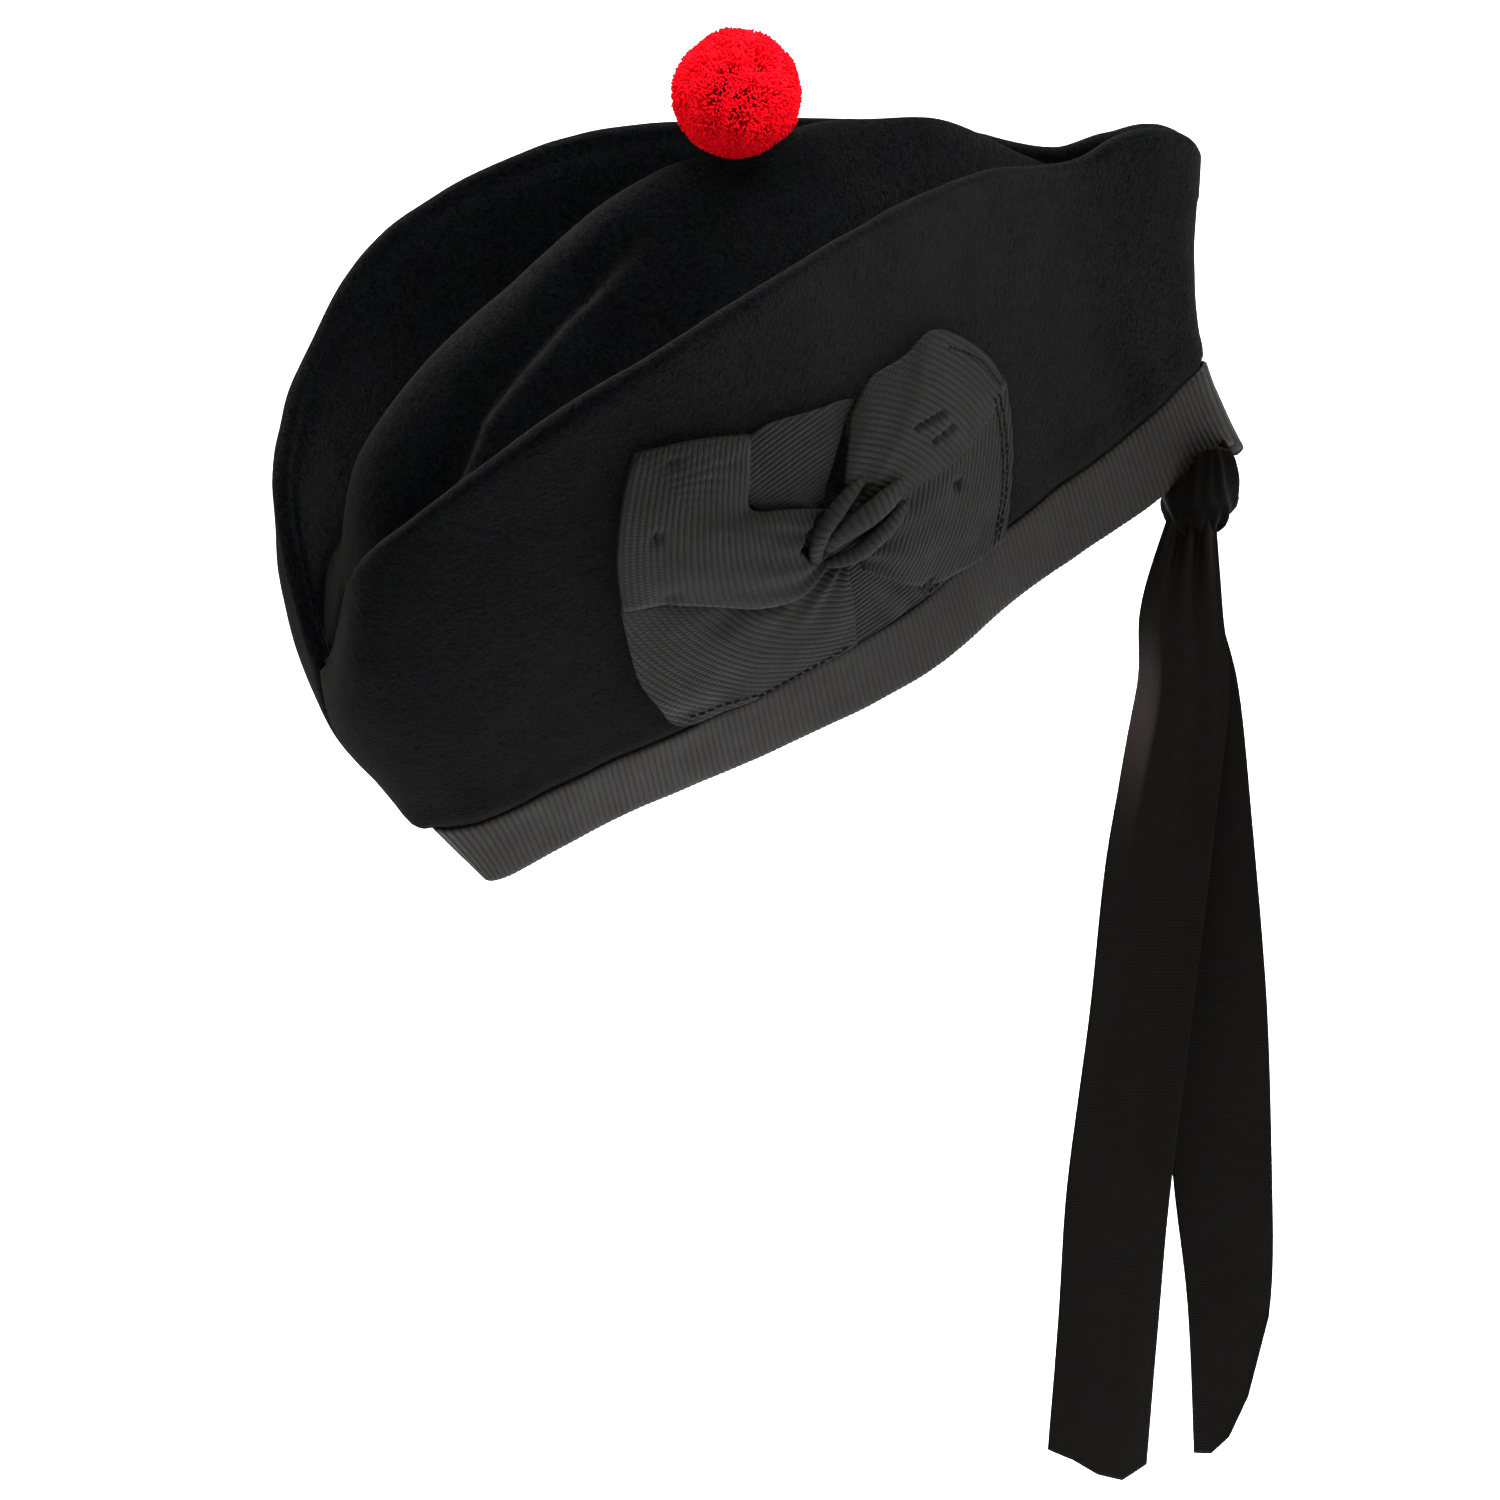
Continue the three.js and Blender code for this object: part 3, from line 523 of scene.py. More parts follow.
def ribbon_finish(name, thread, groove_shade, pitch, relief, roughness, gloss):
    """Ribbed ribbon: satin thread tops, grooves darkened with painted shade, and slow changes of tone
    over it.
    """
    material, tree, shader = principled(name, thread, roughness, {
        "Specular IOR Level": gloss, "Sheen Weight": 0.008, "Sheen Roughness": 0.4})
    weave, place, cloud, shade, worn, rough, bump = nodes_of(
        tree, "Attribute", "TexCoord", "TexNoise", "Mix", "Mix", "MapRange", "Bump")
    weave.attribute_name = "weave"
    ribs = tree.nodes.new("ShaderNodeGroup")
    ribs.node_tree = RIBS
    set_inputs(ribs, {"Pitch": pitch, "Thread": FINE_THREAD})
    set_inputs(cloud, {"Scale": 130, "Detail": 4})
    # Painted shade: the groove colour darkens the grooves between the ribs, where shade falls.
    mix_colours(shade, thread, groove_shade)
    mix_colours(worn, multiply=0.4)
    set_inputs(rough, {"To Min": roughness - 0.08, "To Max": roughness + 0.12})
    set_inputs(bump, {"Strength": 0.6, "Distance": relief / 1000})
    wire(tree, [
        (weave, "Vector", ribs, "Weave"), (place, "Object", cloud, "Vector"),
        (ribs, "Groove", shade, "Factor"), (shade, "Result", worn, "A"), (cloud, "Color", worn, "B"),
        (worn, "Result", shader, "Base Color"), (cloud, "Fac", rough, "Value"),
        (rough, "Result", shader, "Roughness"), (ribs, "Height", bump, "Height"),
        (bump, "Normal", shader, "Normal")])
    return material


grosgrain = ribbon_finish("grosgrain", (0.0140, 0.0125, 0.0116), (0.0010, 0.0009, 0.0008),
                          RIB_PITCH, 0.5, 0.55, 0.09)
round_the_rim = [(k / RIM_STEPS, 1) for k in range(LAST * RIM_STEPS + 1)]
round_the_rim += [(k / RIM_STEPS, -1) for k in range(LAST * RIM_STEPS - 1, 0, -1)]
rim_points = [wall_line(t, side, BAND_WIDE / 2 / wall_height(t, side)) for t, side in round_the_rim]
rim_points.append(rim_points[0])
travelled = np.cumsum([0] + [(b - a).length for a, b in zip(rim_points, rim_points[1:])])
rib_count = round(travelled[-1] / RIB_PITCH)
columns = rib_count * SAMPLES_PER_RIB
band_points = []
band_weave = []
for c in range(columns):
    gone = travelled[-1] * c / columns
    t, side = np.interp(gone, travelled, np.arange(len(travelled))) / RIM_STEPS, 1
    if t > LAST:
        t, side = 2 * LAST - t, -1
    high = wall_height(t, side)
    rib = RIB_RELIEF * abs(math.sin(math.pi * c / SAMPLES_PER_RIB))
    wave = 0.3 * noise.noise(Vector((gone / 22, 4, 0)))
    at_rear = hill(LAST - t, REAR_FLARE["reach"])
    for j, (up, out) in enumerate(BAND_PROFILE):
        p = wall_line(t, side, up / high)
        normal = wall_normal(t, side, clamped(up / high))
        lift = out + hand_shaped(p, t) + (rib if j in RIBBED_ROWS else 0)
        q = p + normal * lift
        q.z += wave * clamped(up / 20)
        q.x = side * max(side * q.x, 0.0)
        q.y += at_rear * REAR_FLARE["out"] * (1 - 0.75 * clamped(up / BAND_WIDE))
        q.z -= at_rear * REAR_FLARE["down"] * max(1 - max(up, 0) / 12, 0)
        band_points.append(q)
        band_weave.append((gone * RIB_PITCH * rib_count / travelled[-1], up, 0))
around = len(BAND_PROFILE)
band_faces = []
for i in range(columns):
    band_faces += ring_faces(i * around, (i + 1) % columns * around, around)
band = mesh_object("grosgrain_band", placed(band_points), band_faces, grosgrain)
set_weave(band, band_weave)
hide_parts("rim_binding")
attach(band, "root")

# Cockade. A length of the same grosgrain, folded into two bow loops, a raised rear wing and two ends,
# gathered at a knot and tacked flat to the wearer's left wall over a backing of the same ribbon.
# The band's grosgrain again, with its colours darkened: painted shade, so that the bow reads darker
# than the band.
bow_grosgrain_shaded = ribbon_finish("bow_grosgrain_shaded", (0.0062, 0.0060, 0.0057), (0.0002, 0.0002, 0.0002),
                              RIB_PITCH, 0.6, 0.55, 0.07)
WALL_UP_STEP = 2.0
WALL_GRID = {"along": np.arange(-92.0, 74.0, 1.0), "up": np.arange(0.0, 166.0, WALL_UP_STEP)}
rim_stations = np.arange(LAST * 20 + 1) / 20
rim_ys = [station(t)["rim_y"] for t in rim_stations]
grid_rows = []
for along in WALL_GRID["along"]:
    t = round(float(np.interp(along, rim_ys, rim_stations)), 4)
    high = wall_height(t, 1)
    row = []
    for up in WALL_GRID["up"]:
        p = wall_line(t, 1, up / high)
        normal = wall_normal(t, 1, up / high)
        row.append([*(p + normal * hand_shaped(p, t)), *normal])
    grid_rows.append(row)
WALL_TABLE = np.array(grid_rows)


def on_wall(along, up, out):
    """Points off the near wall: millimetres along the rim, up from it and out from the wool."""
    i = np.clip((np.asarray(along) - WALL_GRID["along"][0]), 0, len(WALL_GRID["along"]) - 1.001)
    j = np.clip(np.asarray(up) / WALL_UP_STEP, 0, len(WALL_GRID["up"]) - 1.001)
    a, b = i.astype(int), j.astype(int)
    f, g = (i - a)[..., None], (j - b)[..., None]
    both = ((1 - f) * (1 - g) * WALL_TABLE[a, b] + f * (1 - g) * WALL_TABLE[a + 1, b]
            + (1 - f) * g * WALL_TABLE[a, b + 1] + f * g * WALL_TABLE[a + 1, b + 1])
    return both[..., :3] + both[..., 3:] * np.asarray(out)[..., None]


def with_ends(rows):
    """The rows with one more at each end, straight on from the last two."""
    return np.vstack([2 * rows[0] - rows[1], rows, 2 * rows[-1] - rows[-2]])


def even_line(rows, count):
    """Points spaced evenly along a smooth line through the rows."""
    rows = np.array(rows, float)
    if len(rows) == 2:
        return rows[0] + (rows[1] - rows[0]) * np.linspace(0, 1, count)[:, None]
    padded = with_ends(rows)
    dense = []
    for a, b, c, d in zip(padded, padded[1:], padded[2:], padded[3:]):
        dense += [between(a, b, c, d, f) for f in np.linspace(0, 1, 14, endpoint=False)]
    dense = np.array(dense + [rows[-1]])
    gone = np.concatenate([[0], np.cumsum(np.linalg.norm(np.diff(dense, axis=0), axis=1))])
    marks = np.linspace(0, gone[-1], count)
    return np.stack([np.interp(marks, gone, dense[:, k]) for k in range(rows.shape[1])], axis=1)


RIBBON = 0.5  # thickness
LAYER_ACROSS = 40
LAYER_STEP = 0.45  # millimetres between rows along a layer, a few to each rib
FOLD_ROWS = 9
TUCKED_ROWS = 25  # of the ribbon that runs back under a layer from its fold
ROUND_A_FOLD = 3  # the ribbon's way round a fold, in heights of half the fold
BOW_RIB_RELIEF = 0.2
GATHERS = {"high": 0.9, "reach": 13}  # the pleats by the knot


def ribbon_layer(name, node, edges, low, puff, pleats, rib_centre, fold=0.0, tacks=(), creases=()):
    """A layer of the bow, from its gathers at the knot out to its edge, which may fold under.

    Its edges are at the knot, at the outside, and down both sides. Tacks press it down at a point,
    and creases along a line: each has its depth and reach.
    """
    inner, outer, side_a, side_b = edges
    length = max(np.linalg.norm(np.diff(np.array(s, float), axis=0), axis=1).sum()
                 for s in (side_a, side_b))
    rows = int(length / LAYER_STEP)
    inner, outer = even_line(inner, LAYER_ACROSS), even_line(outer, LAYER_ACROSS)
    side_a, side_b = even_line(side_a, rows), even_line(side_b, rows)
    p = np.linspace(0, 1, LAYER_ACROSS)[None, :, None]
    q = np.linspace(0, 1, rows)[:, None, None]
    flat = ((1 - p) * side_a[:, None] + p * side_b[:, None] + (1 - q) * inner[None] + q * outer[None]
            - (1 - q) * ((1 - p) * inner[0] + p * inner[-1]) - q * ((1 - p) * outer[0] + p * outer[-1]))
    p, q = p[..., 0], q[..., 0]
    body = np.sin(np.pi * np.clip(0.12 + 0.88 * q, 0, 1)) ** 0.8
    body = body * (0.3 + 0.7 * np.sin(np.pi * p) ** 0.7)
    gathers = np.cos(TAU * pleats * (p + 0.05 * np.sin(5 * q))) * np.exp(-q * length / GATHERS["reach"])
    lift = low + puff * body + GATHERS["high"] * gathers + fold
    for along, up, deep, reach in tacks:
        lift -= deep * np.exp(-(((flat[..., 0] - along) ** 2 + (flat[..., 1] - up) ** 2) / reach ** 2))
    for (x0, y0), (x1, y1), deep, reach in creases:
        run = np.array([x1 - x0, y1 - y0])
        f = np.clip(((flat - (x0, y0)) @ run) / (run @ run), 0, 1)
        away = np.linalg.norm(flat - (np.array([x0, y0]) + f[..., None] * run), axis=-1)
        lift -= deep * np.exp(-(away / reach) ** 2)
    from_centre = np.linalg.norm(flat - rib_centre, axis=-1)
    weave = np.stack([from_centre, p * BAND_WIDE * np.ones_like(q), 0 * from_centre], axis=-1)
    lift += BOW_RIB_RELIEF * np.abs(np.sin(np.pi * from_centre / RIB_PITCH))
    if fold:
        outward = outer - flat[-4]
        outward /= np.linalg.norm(outward, axis=1)[:, None]
        extra_flat, extra_lift, extra_weave = [], [], []
        for k in range(1, FOLD_ROWS + 1):
            turn = math.pi * k / FOLD_ROWS
            extra_flat.append(outer + outward * fold * math.sin(turn))
            extra_lift.append(lift[-1] - fold * (1 - math.cos(turn)))
            extra_weave.append(weave[-1] + (k * fold * ROUND_A_FOLD / FOLD_ROWS, 0, 0))
        for k in range(1, TUCKED_ROWS + 1):
            extra_flat.append(flat[-1 - k])
            extra_lift.append(lift[-1] - 2 * fold)
            extra_weave.append(weave[-1] + (fold * ROUND_A_FOLD + k * LAYER_STEP, 0, 0))
        flat = np.concatenate([flat, extra_flat])
        lift = np.concatenate([lift, extra_lift])
        weave = np.concatenate([weave, extra_weave])
    points = placed(on_wall(flat[..., 0], flat[..., 1], lift))
    piece = mesh_object(name, points, grid_faces(len(flat), LAYER_ACROSS), bow_grosgrain_shaded)
    middle_face = piece.data.polygons[(rows // 2) * (LAYER_ACROSS - 1) + LAYER_ACROSS // 2]
    if middle_face.normal.dot(middle_face.center - HAT_MIDDLE) < 0:
        piece.data.flip_normals()
    set_weave(piece, weave.reshape(-1, 3))
    thicken(piece, "ribbon", RIBBON, -1)
    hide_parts(node)
    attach(piece, "root")


BACKING = [
    (-72, 98), (-74, 84), (-74, 66), (-71, 50), (-65, 31), (-50, 29), (-33, 28.5), (-15, 28), (4, 28),
    (22, 28), (41, 28), (47, 42), (52, 60), (53, 76), (46, 90), (34, 107), (18, 107), (3, 105),
    (-3, 100), (-9.5, 89), (-13, 90), (-14.5, 112), (-24, 122), (-36, 123), (-46, 129), (-57, 135),
    (-65, 119), (-72, 98)]
ribbon_layer("cockade_backing", "cockade_base", (
    [(-13.4, 73.4), (-13.8, 72.8), (-13.2, 72.2), (-12.6, 72.8), (-13.2, 73.4)], BACKING,
    [(-13.4, 73.4), (-72, 98)], [(-13.2, 73.4), (-72, 98)]), 0.7, 0.2, 0, (-13, 140))
ribbon_layer("cockade_upper_front", "cockade_base", (
    [(-11, 80), (-17, 82)], [(3, 114), (-1, 117), (-10, 121), (-23, 127), (-32, 128), (-44, 134)],
    [(-11, 80), (-13.5, 89), (-9.5, 98), (-3, 108), (3, 114)], [(-17, 82), (-35, 104), (-44, 134)]),
    1.9, 1.6, 2, (-20, 20))
ribbon_layer("cockade_front_end", "cockade_base", (
    [(-18, 70), (-12, 62)],
    [(-76, 92), (-76.5, 72), (-76, 58), (-73, 46), (-68, 32), (-52, 29), (-36, 28.6), (-13, 28.6)],
    [(-18, 70), (-45, 78), (-76, 92)], [(-12, 62), (-12, 45), (-13, 28.6)]), 1.7, 1.8, 3, (20, 105),
    tacks=[(-66, 36, 0.8, 4), (-50, 70, 1.0, 5)], creases=[((-67, 92), (-34, 64), 1.3, 2.2)])
ribbon_layer("cockade_rear_end", "cockade_base", (
    [(-6, 61), (-3, 66)], [(13, 28.4), (25, 28.4), (41, 28.4), (48, 40), (53, 58)],
    [(-6, 61), (4, 45), (13, 28.4)], [(-3, 66), (24, 60), (53, 58)]), 1.5, 0.9, 2, (-50, 110),
    creases=[((-8, 60), (11, 35), 1.2, 2.0)])
ribbon_layer("cockade_front_loop_ribbon", "cockade_front_loop", (
    [(-13, 87), (-17, 78), (-19, 69)],
    [(-31, 128), (-45, 137.5), (-58.5, 143.8), (-61.3, 144.6), (-62.8, 142.3), (-67.5, 131),
     (-72.5, 112), (-74.5, 92)],
    [(-13, 87), (-24, 96), (-36, 106), (-34, 117), (-31, 128)],
    [(-19, 69), (-28, 64), (-40, 69), (-51, 78), (-65, 88), (-74.5, 92)]), 2.6, 3.2, 4, (60, 88),
    fold=1.4, tacks=[(-53, 138, 1.3, 1.6), (-62.5, 116, 1.6, 1.8), (-63, 90, 0.8, 3)],
    creases=[((-18.5, 86), (-24, 81), 3.0, 1.2), ((-24, 81), (-21, 74), 3.0, 1.2)])
ribbon_layer("cockade_rear_loop_ribbon", "cockade_rear_loop", (
    [(-8.5, 59.5), (-3, 74)], [(42, 28), (48, 42), (53, 60), (55, 80)],
    [(-8.5, 59.5), (0.5, 47.5), (11.5, 35.5), (26, 30), (42, 28)], [(-3, 74), (26, 82), (55, 80)]),
    2.8, 2.0, 3, (-60, 110), fold=0.8, tacks=[(12, 36, 1.8, 1.8), (27.5, 63, 2.0, 1.8)])
ribbon_layer("cockade_upper_wing", "cockade_upper_loop", (
    [(-3, 72), (-9, 86)], [(55, 77), (49, 94), (35, 113), (22, 113.5), (9, 116), (-1, 110)],
    [(-3, 72), (9, 72), (22, 69), (33, 67), (44, 71), (55, 77)], [(-9, 86), (-6, 98), (-1, 110)]),
    3.1, 2.6, 3, (-60, 40), fold=0.6, tacks=[(-4, 84, 2.4, 2.4)],
    creases=[((17.5, 93), (28, 90), 1.5, 0.7), ((22, 84), (30.5, 83), 1.4, 0.7),
             ((-1, 86), (-9, 84), 3.0, 1.3)])

KNOT_FOLDS = [  # path along and up the wall, half width, and height off the wool at its middle
    ([(-19, 73), (-13, 77.5), (-5, 79.3), (14, 79)], 4.2, 8.8),
    ([(-21, 70), (-20.5, 78), (-17, 84), (-9, 88.5), (1, 91)], 3.1, 8.0),
    ([(-19, 69), (-9, 68), (-1, 69.3), (12, 71)], 3.2, 7.6),
]
KNOT_ROWS = 40
KNOT_ROUND = 20
FOLD_THICK = 1.7  # half the thickness of a fold of the knot
FOLD_ENDS = 3.2  # height of its ends off the wool
FOLD_LONG = 28
knot_points, knot_faces, knot_weave = [], [], []
for path, half, high in KNOT_FOLDS:
    first = len(knot_points)
    spine = even_line(path, KNOT_ROWS)
    run = np.gradient(spine, axis=0)
    run /= np.linalg.norm(run, axis=1)[:, None]
    for i, (at, ahead) in enumerate(zip(spine, run)):
        f = i / (KNOT_ROWS - 1)
        size = 0.15 + 0.85 * math.sin(math.pi * f) ** 0.5
        middle = FOLD_ENDS + (high - FOLD_ENDS - 1.6) * math.sin(math.pi * f) ** 0.6
        for k in range(KNOT_ROUND):
            turn = TAU * k / KNOT_ROUND
            wide = half * size * math.cos(turn)
            knot_points.append((at[0] - ahead[1] * wide, at[1] + ahead[0] * wide,
                                middle + FOLD_THICK * size * math.sin(turn)))
            knot_weave.append((f * FOLD_LONG, turn * half, 0))
    for ring in range(first, len(knot_points) - KNOT_ROUND, KNOT_ROUND):
        knot_faces += ring_faces(ring, ring + KNOT_ROUND, KNOT_ROUND)
    knot_faces.append(tuple(range(first + KNOT_ROUND - 1, first - 1, -1)))
    knot_faces.append(tuple(range(len(knot_points) - KNOT_ROUND, len(knot_points))))
knot = mesh_object("cockade_knot_folds", placed(on_wall(*np.array(knot_points).T)), knot_faces,
                   bow_grosgrain_shaded)
set_weave(knot, knot_weave)
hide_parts("cockade_knot")
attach(knot, "root")

# Cockade stitches. Short stitches of dark thread, machine sewn in a double line down the rear end, and
# in single lines by the wing's outer edge and where the ends are caught to the band.
def stitch_group(thread_material):
    """Short rods of thread along a line: their spacing, length and thickness are inputs."""
    tree, start, end = new_group("stitches", "GeometryNodeTree", {
        "Line": "Geometry", "Spacing": "Float", "Length": "Float", "Radius": "Float"},
        {"Thread": "Geometry"})
    to_curve, resample, rod, turn, tangent, place, real, finish = [
        tree.nodes.new(kind) for kind in (
            "GeometryNodeMeshToCurve", "GeometryNodeResampleCurve", "GeometryNodeMeshCylinder",
            "FunctionNodeAlignRotationToVector", "GeometryNodeInputTangent",
            "GeometryNodeInstanceOnPoints", "GeometryNodeRealizeInstances",
            "GeometryNodeSetMaterial")]
    resample.mode = "LENGTH"
    turn.axis = "Z"
    set_inputs(rod, {"Vertices": 6})
    set_inputs(finish, {"Material": thread_material})
    wire(tree, [
        (start, "Line", to_curve, "Mesh"), (to_curve, "Curve", resample, "Curve"),
        (start, "Spacing", resample, "Length"), (start, "Length", rod, "Depth"),
        (start, "Radius", rod, "Radius"), (resample, "Curve", place, "Points"),
        (rod, "Mesh", place, "Instance"), (tangent, "Tangent", turn, "Vector"),
        (turn, "Rotation", place, "Rotation"), (place, "Instances", real, "Geometry"),
        (real, "Geometry", finish, "Geometry"), (finish, "Geometry", end, "Thread")])
    return tree


def keep_result(piece, modifier):
    """Make what a modifier gives the piece's own plain mesh."""
    bpy.context.view_layer.update()
    ready = piece.evaluated_get(bpy.context.evaluated_depsgraph_get())
    mesh = bpy.data.meshes.new_from_object(ready)
    piece.modifiers.remove(modifier)
    piece.data = mesh


def grown_by_nodes(piece, tree, values):
    """Run a Geometry Nodes tree on a piece and keep the result as its plain mesh."""
    modifier = piece.modifiers.new(tree.name, "NODES")
    modifier.node_group = tree
    for item in tree.interface.items_tree:
        if item.in_out == "INPUT" and item.name in values:
            modifier[item.identifier] = values[item.name]
    keep_result(piece, modifier)


def thread_finish():
    """Dark sewing thread, a little mottled."""
    material, tree, shader = principled("dark_thread", (0.0026, 0.0025, 0.0025), 0.8, {
        "Specular IOR Level": 0.05})
    place, mottle, shade = nodes_of(tree, "TexCoord", "TexNoise", "ValToRGB")
    mottle.inputs["Scale"].default_value = 1800
    shade.color_ramp.elements[0].color = (0.0008, 0.0008, 0.0008, 1)
    shade.color_ramp.elements[1].color = (0.0045, 0.0044, 0.0042, 1)
    wire(tree, [(place, "Object", mottle, "Vector"), (mottle, "Fac", shade, "Fac"),
                (shade, "Color", shader, "Base Color")])
    return material


SEWN_LINES = [  # along and up the wall
    [(51.5, 76), (50.5, 62), (46, 43), (40, 31)], [(49.3, 76), (48.3, 62), (43.8, 43), (38, 31)],
    [(52.5, 80), (46.5, 94), (38, 105)], [(-44, 29.6), (-30, 29.4), (-17, 30)], [(14, 30), (26, 30)],
    [(-64, 34), (-55, 33), (-46, 31)],
]
SEWN_POINTS = 60  # to a line
SEARCH = (14.0, 0.2)  # how far off the wool the ribbon's surface is looked for
THREAD_PROUD = 0.00012  # metres
line_points, line_edges = [], []
bpy.context.view_layer.update()
depsgraph = bpy.context.evaluated_depsgraph_get()
bow = [BVHTree.FromObject(piece, depsgraph) for piece in bpy.context.scene.objects
       if piece.name.startswith("cockade_") and piece.data.attributes.get("weave")]


def top_of_bow(above, under):
    """Where a line into the wall first meets the ribbon, less a hair."""
    start = Vector(above)
    into = (Vector(under) - start).normalized()
    hits = [tree.ray_cast(start, into)[3] for tree in bow]
    reach = min([hit for hit in hits if hit] or [(Vector(under) - start).length])
    return start + into * (reach - THREAD_PROUD)


for row in SEWN_LINES:
    line = even_line(row, SEWN_POINTS)
    first = len(line_points)
    above, under = (placed(on_wall(*line.T, np.full(SEWN_POINTS, off))) for off in SEARCH)
    line_points += [top_of_bow(a, b) for a, b in zip(above, under)]
    line_edges += [(first + i, first + i + 1) for i in range(SEWN_POINTS - 1)]
stitch_mesh = bpy.data.meshes.new("cockade_stitches")
stitch_mesh.from_pydata([tuple(p) for p in line_points], line_edges, [])
stitches = put_in_scene("cockade_stitches", stitch_mesh)
grown_by_nodes(stitches, stitch_group(thread_finish()), {
    "Spacing": 0.0024, "Length": 0.0016, "Radius": 0.0003})
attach(stitches, "root")

# Tourie. A pompom of bright red wool, its thousands of strands bound at the middle and clipped to a
# ball 37 mm across. It is sewn down to the ridge, which it dents a little.
low_corner, high_corner = (np.array(corner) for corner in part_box("tourie"))
TOURIE_RADIUS = float(high_corner[0] - low_corner[0]) / 2
tourie_middle = Vector((float(low_corner[0] + high_corner[0]) / 2,
                        float(low_corner[1] + high_corner[1]) / 2,
                        float(high_corner[2]) - TOURIE_RADIUS))
CORE_SHARE = 0.66  # the ball under the loose ends
STRANDS = 14500
# The radius is in metres, with the root's as a share of it, and the lean is in radians.
STRAND = {"reach": 0.97, "radius": 0.00034, "root": 0.8, "lean": 0.17, "least": 0.86, "most": 1.06}
CLIPPED = {"uneven": 0.12, "part": (0.60, -0.02, 0.80), "part_depth": 0.09, "part_spread": 0.10}


def wool_strand_group(material):
    """Clipped strands that stand off a ball: count, length, thickness and lean are inputs."""
    tree, start, end = new_group("wool_strands", "GeometryNodeTree", {
        "Ball": "Geometry", "Density": "Float", "Length": "Float", "Radius": "Float", "Lean": "Float",
        "Seed": "Int"}, {"Wool": "Geometry"})
    scatter, strand, upright, turn, lean, size, place, real, join, finish, spin = [
        tree.nodes.new(kind) for kind in (
            "GeometryNodeDistributePointsOnFaces", "GeometryNodeMeshCone",
            "FunctionNodeAlignRotationToVector", "FunctionNodeRotateRotation",
            "FunctionNodeRandomValue", "FunctionNodeRandomValue", "GeometryNodeInstanceOnPoints",
            "GeometryNodeRealizeInstances", "GeometryNodeJoinGeometry", "GeometryNodeSetMaterial",
            "FunctionNodeEulerToRotation")]
    root, most, least = nodes_of(tree, "Math", "VectorMath", "VectorMath")
    set_inputs(strand, {"Vertices": 4, "Side Segments": 1})
    strand.fill_type = "NGON"
    upright.axis = "Z"
    turn.rotation_space = "LOCAL"
    lean.data_type = "FLOAT_VECTOR"
    size.data_type = "FLOAT"
    size.inputs[2].default_value = STRAND["least"]
    size.inputs[3].default_value = STRAND["most"]
    root.operation = "MULTIPLY"
    root.inputs[1].default_value = STRAND["root"]
    most.operation = least.operation = "SCALE"
    most.inputs[0].default_value = (1, 1, 1)
    least.inputs[0].default_value = (-1, -1, -1)
    set_inputs(finish, {"Material": material})
    wire(tree, [
        (start, "Ball", scatter, "Mesh"), (start, "Density", scatter, "Density"),
        (start, "Seed", scatter, "Seed"), (start, "Seed", lean, "Seed"),
        (start, "Length", strand, "Depth"), (start, "Radius", strand, "Radius Top"),
        (start, "Radius", root, 0), (root, 0, strand, "Radius Bottom"),
        (scatter, "Normal", upright, "Vector"), (upright, "Rotation", turn, "Rotation"),
        (start, "Lean", most, "Scale"), (start, "Lean", least, "Scale"),
        (most, 0, lean, "Max"), (least, 0, lean, "Min"), (lean, "Value", spin, 0),
        (spin, 0, turn, "Rotate By"), (scatter, "Points", place, "Points"),
        (strand, "Mesh", place, "Instance"), (turn, "Rotation", place, "Rotation"),
        (size, 1, place, "Scale"), (place, "Instances", real, "Geometry"),
        (real, "Geometry", join, "Geometry"), (start, "Ball", join, "Geometry"),
        (join, "Geometry", finish, "Geometry"), (finish, "Geometry", end, "Wool")])
    return tree


def red_wool_finish():
    """Dyed wool: bright red and mottled, with a deeper red towards the ball's middle that is painted
    shade down between the strands.
    """
    material, tree, shader = principled("red_wool", (0.74, 0.004, 0.012), 0.95, {
        "Specular IOR Level": 0.03, "Sheen Weight": 0.04, "Sheen Roughness": 0.5,
        "Sheen Tint": (1, 0.3, 0.35, 1)})
    place, away, depth, mottle, deep, shade = nodes_of(
        tree, "TexCoord", "VectorMath", "MapRange", "TexNoise", "Mix", "ValToRGB")
    away.operation = "DISTANCE"
    away.inputs[1].default_value = tourie_middle
    set_inputs(depth, {"From Min": TOURIE_RADIUS * 0.8, "From Max": TOURIE_RADIUS * 0.96})
    set_inputs(mottle, {"Scale": 420, "Detail": 3})
    shade.color_ramp.elements[0].position = 0.3
    shade.color_ramp.elements[0].color = (0.80, 0.0010, 0.006, 1)
    shade.color_ramp.elements[1].position = 0.75
    shade.color_ramp.elements[1].color = (0.98, 0.0050, 0.018, 1)
    # Painted shade: the colour turns a deeper red towards the middle of the ball, where the strands
    # shade one another.
    mix_colours(deep, (0.66, 0.0010, 0.005))
    wire(tree, [
        (place, "Object", away, 0), (away, "Value", depth, "Value"),
        (place, "Object", mottle, "Vector"), (mottle, "Fac", shade, "Fac"),
        (depth, "Result", deep, "Factor"), (shade, "Color", deep, "B"),
        (deep, "Result", shader, "Base Color")])
    return material


